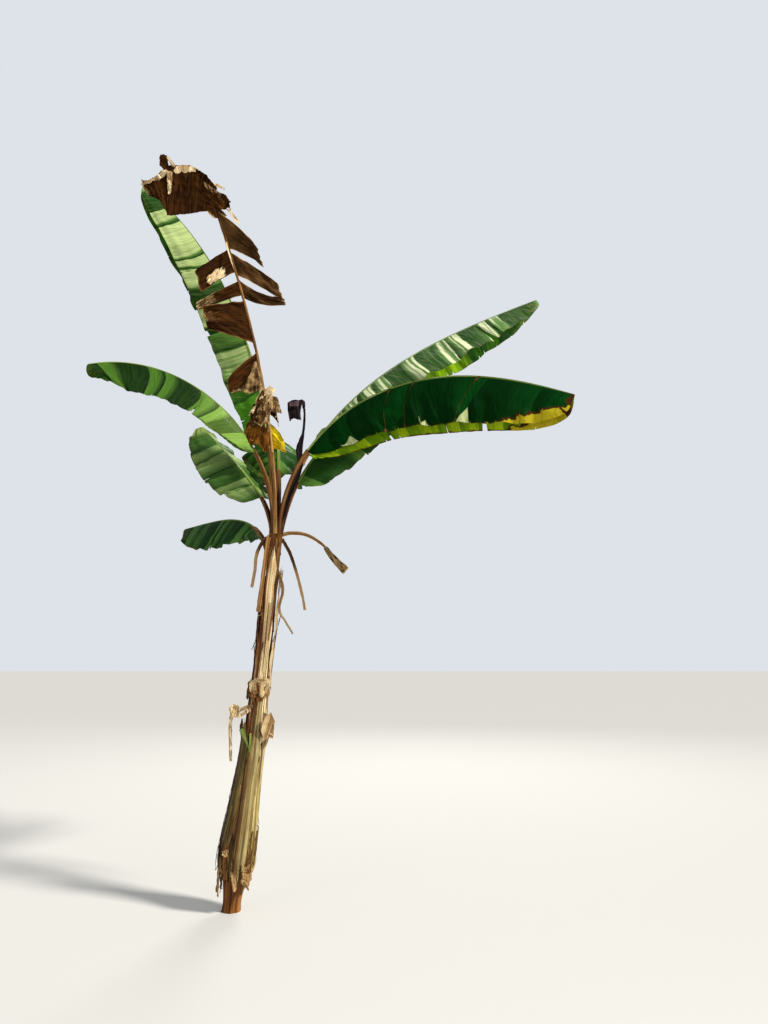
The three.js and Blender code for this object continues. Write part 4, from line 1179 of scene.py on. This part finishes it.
def make_stem(material):
    t, azimuth = net(STEM_GRID, 0, 360 * (1 - 1 / STEM_GRID[1]))
    z = STEM_HEIGHT * t
    turn = np.radians(azimuth)
    folds = ripples(np.cos(turn) * 1.6, np.sin(turn) * 1.6 + z * 0.25, 3, 6)
    fibres = ripples(np.cos(turn) * 9, np.sin(turn) * 9 + z * 0.9, 4, 7)
    radius = stem_radius(z) + 0.0022 * folds + 0.0011 * fibres - 0.001 - FOOT_SLIM * hump(z, FOOT_SLIM_HEIGHT)
    bundle = Bundle()
    bundle.tube(around_stem(z, azimuth, radius), STEM_HEIGHT, 0.5)
    bundle.finish("stem_fine", [material], "stem", "pseudostem")


def sheath_piece(name, materials, place, share, skin, start, *nodes):
    """A sheet round the stem. place is its height, azimuth and distance from the stem's axis, and start
    the beginning of its grain."""
    z, azimuth, _ = place
    bundle = Bundle()
    grain = pair(np.radians(azimuth) * GRAIN_RADIUS + start, z)
    bundle.shell(around_stem(*place), skin, share, grain)
    bundle.finish(name, materials, "dry_sheath", *nodes)


def make_sheath(name, shape, materials, seed):
    low, high = shape["z"]
    t, a = net(SHEATH_GRID, -0.5, 0.5)
    foot = low + fringe(a, seed, 0.05 * (high - low))
    head = high - fringe(a, seed + 1, 0.13 * (high - low))
    z = mix(foot, head, t)
    place, width = sheath_span(shape, z)
    wobble = 5 * ripples(z * 2.2, seed, seed + 2, 4) * np.abs(2 * a) ** 2
    azimuth = shape["centre"] + a * width + wobble
    folds = ripples(a * width / 22, z * 0.7, seed + 3, 5)
    fibres = ripples(a * width / 5, z * 1.2, seed + 4, 6)
    curl = 0.007 * np.abs(2 * a) ** 5 * (0.5 + 0.5 * np.sin(5 * z + seed))
    tips = 0.02 * smooth(0.9, 1.0, t) * (0.5 + 0.5 * np.sin(9 * a + seed))
    radius = stem_radius(z) + SEAT + sheath_under(shape, place) + 0.0045
    radius = radius + 0.0021 * folds + 0.0009 * fibres + curl + tips
    share = pair(a + 0.5, t)
    place = (z, azimuth, radius)
    sheath_piece(f"sheath_{name}_fine", materials, place, share, SHEATH_SKIN, seed, f"sheath_{name}")


def make_middle_sheath(materials):
    """A smooth sheath at the front, over the feet of the upper tier and the heads of the lower one."""
    t, a = net(MIDDLE_GRID, -1, 1)
    low, high = MIDDLE_SHEATH["z"]
    z = mix(low + fringe(a / 2, 71, 0.14), high - fringe(a / 2, 72, 0.03), t)
    uneven = 1 + 0.07 * ripples(z * 2, 0, 73, 4)
    turn = np.degrees(a * MIDDLE_SHEATH["half"] / (0.03 + stem_radius(z))) * uneven
    azimuth = MIDDLE_SHEATH["centre"] + turn
    near = [(up, aside) for up in (-0.05, 0, 0.05) for aside in (-7, 0, 7)]
    reach = np.max([outer_radius(z + up, azimuth + aside) for up, aside in near], axis=0)
    reach = soften(soften(reach, 8).T, 4).T
    folds = ripples(a * 0.7, z * 0.8, 74, 4)
    fibres = ripples(a * 4, z * 1.1, 75, 5)
    margin = MIDDLE_SHEATH["margin"] + 0.007 * hump(z - MIDDLE_SHEATH["swell"], 0.07)
    radius = reach + margin + 0.002 * folds + 0.0007 * fibres - 0.012 * np.abs(a) ** 4
    sheath_piece("middle_sheath", materials, (z, azimuth, radius), pair(0.5 + 0.5 * a, t), SHEATH_SKIN, 0)


def make_collar(materials):
    """The crumpled rag round the stem where the low sheaths end."""
    t, a = net(COLLAR_GRID, -0.5, 0.5)
    low, high = COLLAR["z"]
    z = mix(low + fringe(a, 61, 0.05), high - fringe(a, 62, 0.045), t)
    azimuth = COLLAR["centre"] + a * COLLAR["span"]
    crumple = 0.35 + 0.3 * ripples(a * 4, z * 9, 63, 6)
    creases = ripples(a * 13, z * 22, 64, 7)
    radius = stem_radius(z) + COLLAR["space"] + mix(*COLLAR["stand"], np.clip(crumple, 0, 1))
    radius = np.maximum(radius + 0.0014 * creases, outer_radius(z, azimuth) + 0.001)
    place = (z, azimuth, radius)
    sheath_piece("collar_fine", materials, place, pair(a + 0.5, t), COLLAR_SKIN, 0, "collar_rag")


def add_strip(bundle, grid, t, a, half, z, k, kinds):
    """One strip of a bundle that deals its materials out in turn."""
    look = k % kinds
    bundle.shell(grid, DRY_SKIN, pair(0.5 + 0.5 * a, t), pair(a * half + 2 * k, z), (look, look))


def make_strips(materials):
    """Narrow torn strips of sheath, each rooted under the outer face and peeling away at its end."""
    draw = seeded(907)
    bundle = Bundle()
    t, a = net(STRIP_GRID, -1, 1)
    for k in range(STRIPS):
        low = mix(0.06, 2.1, draw())
        high = min(low + mix(0.12, 0.5, draw() ** 1.5), 2.3)
        azimuth = 360 * draw()
        half = mix(0.003, 0.013, draw() ** 1.5)
        down = draw() < 0.6
        peel = mix(0.002, 0.03, draw() ** 2)
        around = azimuth + mix(-16, 16, draw()) * t**1.5
        z = mix(high, low, t) if down else mix(low, high, t)
        slim = half * (1 - 0.75 * t**2)
        radius = outer_radius(z, around) - 0.001 + 0.004 * np.sqrt(t) + peel * t**2.5
        grid = around_stem(z, around + np.degrees(a * slim / GRAIN_RADIUS), radius)
        grid = grid + 0.0015 * ripples(t * 4, a, 50 + k, 3)[..., None] * heading(around, 0)
        if down:
            grid = grid[:, ::-1]
        add_strip(bundle, grid, t, a, half, z, k, len(materials))
    bundle.finish("sheath_strips", materials, "dry_sheath")


def make_hem_strips(materials):
    """Ragged strips that hang from the lower sheaths round the bare foot."""
    draw = seeded(1301)
    bundle = Bundle()
    t, a = net(HEM_GRID, -1, 1)
    for k in range(HEM_STRIPS):
        azimuth = 360 * (k + draw()) / HEM_STRIPS
        high = mix(0.3, 0.5, draw())
        z = mix(high, mix(0.09, 0.21, draw() ** 0.7), t)
        half = mix(0.006, 0.02, draw())
        around = azimuth + mix(-9, 9, draw()) * t**1.5
        hang = np.maximum(stem_radius(z) + 0.006, outer_radius(np.maximum(z, 0.31), around) - 0.02 * t)
        radius = np.maximum(hang, outer_radius(z, around)) + 0.002
        radius = radius + 0.005 * ripples(t * 3, a * 0.4, 1400 + k, 4) * t
        slim = half * (1 - 0.6 * t**3) * (1 + 0.15 * ripples(t * 6, 0, 1500 + k, 4)) * smooth(-0.03, 0.2, t)
        grid = around_stem(z + 0.01 * a**2 * t, around + np.degrees(a * slim / 0.1), radius + 0.004 * a**2)
        add_strip(bundle, grid[:, ::-1], t, a, half, z, k, len(materials))
    bundle.finish("hem_strips", materials, "dry_sheath")


# Flaps and scraps: torn pieces of dry blade or sheath


def flap_surface(root, shape, rows, seed, ragged=0.03, crumple=0.006, start=0, curl=0.01):
    """A strip that leaves its root line and droops as it reaches out, crumpled and with torn edges. shape
    is its azimuth, reach, fall at the root and at the end, and far width over near width."""
    towards, length, fall, narrow = shape
    t, x = net((rows, len(root)))
    reach = t * (1 - fringe(x, seed, ragged * 1.6))
    fine = np.linspace(0, 1, 200)
    fall = mix(*fall, np.minimum(1, fine + 0.1))
    run = np.vstack([np.zeros(3), np.cumsum(heading(towards, -fall[1:]) * length / 199, 0)])
    middle = root.mean(0)
    sides = 1 - 0.05 * fringe(t * 0.7, seed + 5, 1.0) * smooth(0.0, 0.15, t)
    wide = (root - middle)[None, :, :] * (mix(1, narrow, reach) * sides)[..., None]
    roll = curl * np.sin(7.2 * x + 3.1 * t + start) * t
    grid = middle + wide + at_shares(run, reach) + heading(towards - 90, 0) * roll[..., None]
    across = x * float(np.linalg.norm(root[-1] - root[0]))
    along = reach * length
    waves = ripples(across * 9, along * 5, seed + 1, 5) * crumple
    wrinkles = ripples(across * 34, along * 6, seed + 2, 6) * crumple * 0.32
    grid = grid + normals(grid) * ((waves + wrinkles) * smooth(0, 0.2, t))[..., None]
    return grid, pair(x, reach), pair(across + seed, along)


def seen(place, front):
    """The point that the camera sees at a pixel, at a distance in front of the plant's axis."""
    pitch = math.radians(PITCH)
    right = (place[0] - IMAGE_WIDTH / 2) / FOCAL_PIXELS
    up = (IMAGE_HEIGHT / 2 - place[1]) / FOCAL_PIXELS
    way = np.array([right, math.cos(pitch) - up * math.sin(pitch), math.sin(pitch) + up * math.cos(pitch)])
    return np.array(EYE) + way * (-front - EYE[1]) / way[1]


def make_scrap(bundle, scrap, look, seed):
    """A crumpled sheet between a top and a bottom edge, as the camera sees them."""
    _, crumple, near, far, *edges = scrap
    t, x = net(SCRAP_GRID)
    lines = []
    for picks in edges:
        fronts = np.linspace(near, far, len(picks))
        lines.append(polyline([seen(pick, front) for pick, front in zip(picks, fronts)], x[0]))
    top, bottom = lines
    grid = mix(top[None], bottom[None], t[..., None])
    across = x * float(np.linalg.norm(top[-1] - top[0])) + 0 * t
    along = t * float(np.linalg.norm(bottom.mean(0) - top.mean(0))) + 0 * x
    waves = ripples(across * 11, along * 11, seed, 5) + 0.4 * ripples(across * 40, along * 40, seed + 1, 6)
    jags = ripples(across * 30, along * 30, seed + 2, 6)
    grid = grid + crumple * np.stack([0.2 * jags, waves - 0.5, 0.2 * jags[::-1]], -1)
    bundle.shell(grid, DRY_SKIN, pair(0.1 + 0.8 * x, 0.9 * t), pair(across + seed, along), (look, look))


def add_scraps(bundle, scraps, names, seed):
    for k, scrap in enumerate(scraps.values()):
        make_scrap(bundle, scrap, names.index(scrap[0]), seed + 5 * k)


def flap_patch(bundle, grid, area, look, seed):
    """A paler crumpled patch on a flap, a little in front of it."""
    left, right, low, high = area
    t = np.linspace(low, high, 26)[:, None]
    x = np.linspace(left, right, 26)[None, :]
    ragged = 0.06 * ripples(x * 6, t * 6, seed, 5)
    row = np.clip(t + ragged, 0.001, 1) * (grid.shape[0] - 1)
    column = np.clip(x - ragged, 0.001, 1) * (grid.shape[1] - 1)
    crumple = 0.004 * ripples(x * 9, t * 9, seed + 1, 6)
    surface = sample(grid, row, column) + heading(-90, 0) * (0.009 + crumple)[..., None]
    bundle.shell(surface, DRY_SKIN, pair(x, t), pair(x * 0.15 + seed, t * 0.35), (look, look))


def make_dead_leaf(materials):
    length = DEAD_RIB["petiole"] + DEAD_RIB["blade"]
    bundle = Bundle()
    t = np.linspace(0, 1, 130)
    line = leaf_line(DEAD_RIB, mix(DEAD_RIB["petiole"] / length, 1, t))
    half = mix(0.015, 0.01, t)
    depth = mix(0.014, 0.01, t)
    limb(bundle, line, half, depth, DEAD_RIB["blade"], len(DEAD_NAMES), 0.0012, 31)
    rows, columns = FLAP_GRID
    for k, ((low, high), *shape, looks) in enumerate(DEAD_FLAPS):
        root = leaf_line(DEAD_RIB, np.linspace(low / length, high / length, columns))["point"]
        grid, share, grain = flap_surface(root, shape, rows, 300 + 7 * k, start=low * 1000)
        bundle.shell(grid, DRY_SKIN, share, grain, [DEAD_NAMES.index(look) for look in looks])
        for number, (flap, *area, look) in enumerate(FLAP_PATCHES):
            if flap == k:
                flap_patch(bundle, grid, area, DEAD_NAMES.index(look), 600 + 3 * number)
    add_scraps(bundle, RIB_SCRAPS, DEAD_NAMES, 700)
    bundle.finish("dead_blade", materials, "dead_blade", "leaf_dead")


def hood_surface(line, s):
    """The hood: from the hook's line down to its hem on both sides, crumpled and with a torn end."""
    u = np.linspace(-1, 1, HOOD_GRID[1])[None, :]
    s = s[:, None]
    v = u * (1 - 0.16 * fringe(s * 1.3, 77, 1.0) * np.abs(u) ** 3)
    i = s * HOOD["steps"]
    level = mix(*HOOD["levels"], s**3) + 0.012 * np.sin(2.3 * i + 2 * v)
    out = np.where(u < 0, HOOD["near"], HOOD["far"])
    point = line["point"][:, None, :]
    y = out * np.sin(math.pi / 2 * v) + 0.008 * np.sin(1.7 * i) * v
    x = HOOD["spill"] * (1 - s) ** 2 * v * v
    grid = point + np.stack([x, y, -v * v * (point[..., 2] - level)], -1)
    along = s * DEAD_HOOK["length"]
    waves = 0.007 * ripples(along * 8, v * 1.3, 81, 5) + 0.0022 * ripples(along * 34, v * 2, 82, 6)
    grid = grid + normals(grid) * (waves * smooth(0, 0.3, np.abs(v)))[..., None]
    return grid, pair(0.5 + 0.5 * u, s), pair(along + 40, v * 0.25)


def make_dead_tip(materials):
    s = np.linspace(0, 1, HOOD_GRID[0])
    line = bent_line(leaf_line(DEAD_RIB, [1.0])["point"][0], DEAD_HOOK["length"], DEAD_HOOK, s)
    line["point"][:, 2] -= HOOD["drop"] * smooth(0.6, 0.8, s)
    line["point"][:, 0] += HOOD["pull"] * smooth(0.7, 1, s)
    grid, share, grain = hood_surface(line, s)
    bundle = Bundle()
    bundle.shell(grid, DRY_SKIN, share, grain)
    half = mix(0.01, 0.003, s)
    limb(bundle, line, half, half, DEAD_HOOK["length"], len(DEAD_NAMES), 0.0006, 83, 16)
    root = line["point"][int(round((len(s) - 1) * 5 / HOOD["steps"]))]
    t = np.linspace(0, 1, 40)
    curl = strand_line([root + np.array(p) for p in HOOD_CURL], len(t))
    limb(bundle, curl, spread(HOOD_CURL_WIDTH, t), spread(HOOD_CURL_DEPTH, t), 0.2, 0, 0.004, 85, 16)
    add_scraps(bundle, HOOD_SCRAPS, DEAD_NAMES, 800)
    bundle.finish("dead_tip", materials, "dead_blade", "leaf_dead_tip")


def make_peel(materials):
    z = np.linspace(*PEEL["z"], 40)
    root = around_stem(z, PEEL["azimuth"], stem_radius(z) + 0.5 * SHEATH_THICKNESS)
    shape = (PEEL["towards"], PEEL["reach"], (-5, 35), 0.7)
    grid, share, grain = flap_surface(root, shape, 26, 91, 0.06, 0.0008, curl=0.002)
    bundle = Bundle()
    bundle.shell(grid, SHEATH_SKIN, share, grain)
    bundle.finish("peel_fine", materials, "dry_sheath", "peeling_edge")


def make_stem_scraps():
    bundle = Bundle()
    add_scraps(bundle, STEM_SCRAPS, STEM_SCRAP_LOOKS, 900)
    bundle.finish("stem_scraps", [MATERIALS[key] for key in STEM_SCRAP_LOOKS], "dry_sheath")


def make_spear(dark, light):
    make_strand("spear", 90, 0.0016)
    tip = np.array(STRANDS["spear"][-1][-1]) + np.array([-0.006, 0, 0.012])
    t = np.linspace(0, 1, 40)[:, None]
    root = tip + np.concatenate([-SPEAR_CURL["width"] * t, 0 * t, 0.022 * np.sin(math.pi * t)], 1)
    shape = (-95, SPEAR_CURL["reach"], (70, 92), 0.8)
    grid, share, grain = flap_surface(root, shape, 30, 95, 0.05, 0.004, start=1)
    bundle = Bundle()
    bundle.shell(grid, DRY_SKIN, share, grain)
    make_scrap(bundle, SPEAR_TOP, 0, 97)
    make_scrap(bundle, SPEAR_BAND, 1, 98)
    bundle.finish("spear_curl_fine", [dark, light], "withered_spear", "spear_curl")


# Camera, floor and lights


def place_thing(name, data):
    thing = bpy.data.objects.new(name, data)
    bpy.context.scene.collection.objects.link(thing)
    return thing


def make_camera():
    data = bpy.data.cameras.new("camera")
    data.sensor_width = SENSOR
    data.lens = FOCAL_PIXELS * SENSOR / IMAGE_HEIGHT
    data.clip_end = 400
    camera = place_thing("camera", data)
    camera.location = EYE
    camera.rotation_euler = (math.radians(90 + PITCH), 0, 0)
    bpy.context.scene.camera = camera


def make_floor():
    mesh = bpy.data.meshes.new("floor")
    corners = [(-1, -1), (1, -1), (1, 1), (-1, 1)]
    mesh.from_pydata([(x * FLOOR_HALF, y * FLOOR_HALF, 0) for x, y in corners], [], [(0, 1, 2, 3)])
    shader = Shader("floor_pale", 0.9, 0.1)
    shader.shader.inputs["Base Color"].default_value = (0.6, 0.6, 0.59, 1)
    mesh.materials.append(shader.material)
    floor = place_thing("floor", mesh)


def make_lamp(name, kind, place, target, power, colour, **facts):
    data = bpy.data.lights.new(name, kind)
    data.energy = power
    data.color = colour
    for key, value in facts.items():
        setattr(data, key, value)
    lamp = place_thing(name, data)
    lamp.location = place
    aim = unit(np.array(target, float) - np.array(place, float))
    flat = math.hypot(aim[0], aim[1])
    lamp.rotation_euler = (math.atan2(flat, -aim[2]), 0, math.atan2(aim[1], aim[0]) - math.pi / 2)


def make_world():
    """Soft light from all sides, and a paler backdrop behind the plant."""
    world = bpy.data.worlds.new("studio")
    world.use_nodes = True
    tree = world.node_tree
    pale = tree.nodes["Background"]
    soft = tree.nodes.new("ShaderNodeBackground")
    for node, strength in ((pale, 0.85), (soft, 0.34)):
        node.inputs[0].default_value = (0.86, 0.9, 0.96, 1)
        node.inputs[1].default_value = strength
    path = tree.nodes.new("ShaderNodeLightPath")
    both = tree.nodes.new("ShaderNodeMixShader")
    tree.links.new(path.outputs["Is Camera Ray"], both.inputs[0])
    tree.links.new(soft.outputs[0], both.inputs[1])
    tree.links.new(pale.outputs[0], both.inputs[2])
    tree.links.new(both.outputs[0], tree.nodes["World Output"].inputs[0])
    bpy.context.scene.world = world


def make_light():
    """A broad key lamp from the upper right, two soft ones, and a low one that lights the stem."""
    make_world()
    make_lamp("key", "SUN", (7, -3, 9), (0.3, 0, 2.6), 4.5, (1, 0.95, 0.86), angle=math.radians(9))
    lamps = {
        "fill": ((-6, -7, 4), (0.2, 0, 2.6), 70, (0.92, 0.96, 1), 5),
        "back": ((2, 8, 8), (0.2, 0, 3), 420, (1, 0.97, 0.9), 4),
        "low": ((3.4, -5.4, 2.2), (0.1, 0, 1.2), 80, (1, 0.96, 0.88), 3),
    }
    for name, (*facts, size) in lamps.items():
        make_lamp(name, "AREA", *facts, shape="DISK", size=size)
    bpy.context.scene.view_settings.view_transform = "Standard"


MATERIALS = {}
for makes, skins in ((fibre_material, FIBRES), (sheath_material, SHEATH_SKINS), (torn_material, DEAD_SKINS)):
    for name, facts in skins.items():
        MATERIALS[name] = makes(name, *facts)


def chosen(*names):
    return [MATERIALS[name] for name in names]


make_camera()
make_floor()
make_light()
make_stem(MATERIALS["stem_skin"])
for number, (name, shape) in enumerate(SHEATHS.items()):
    make_sheath(name, shape, chosen(f"sheath_{name}", "sheath_tan"), 400 + 13 * number)
make_middle_sheath(chosen("sheath_middle", "sheath_tan"))
make_strips(chosen("sheath_tan", "sheath_rust", "sheath_olive", "sheath_cream"))
make_hem_strips(chosen("sheath_rust", "sheath_olive", "dark_petiole_skin", "sheath_tan", "sheath_olive"))
make_collar(chosen("sheath_tan", "sheath_rust"))
make_peel(chosen("sheath_cream", "sheath_cream"))
make_stem_scraps()
make_petiole("dead", DEAD_RIB, MATERIALS["dry_petiole_skin"], "dry_petiole")
for name, leaf in LEAVES.items():
    make_petiole(name, leaf, MATERIALS["petiole_skin"], "petiole")
    make_leaf(name, leaf)
for name in STRANDS:
    if name != "spear":
        make_strand(name)
make_spear(*chosen("spear_skin", "spear_back"))
DEAD_LOOKS = chosen(*(f"dead_{name}" for name in DEAD_NAMES), "dry_petiole_skin")
make_dead_leaf(DEAD_LOOKS)
make_dead_tip(DEAD_LOOKS)
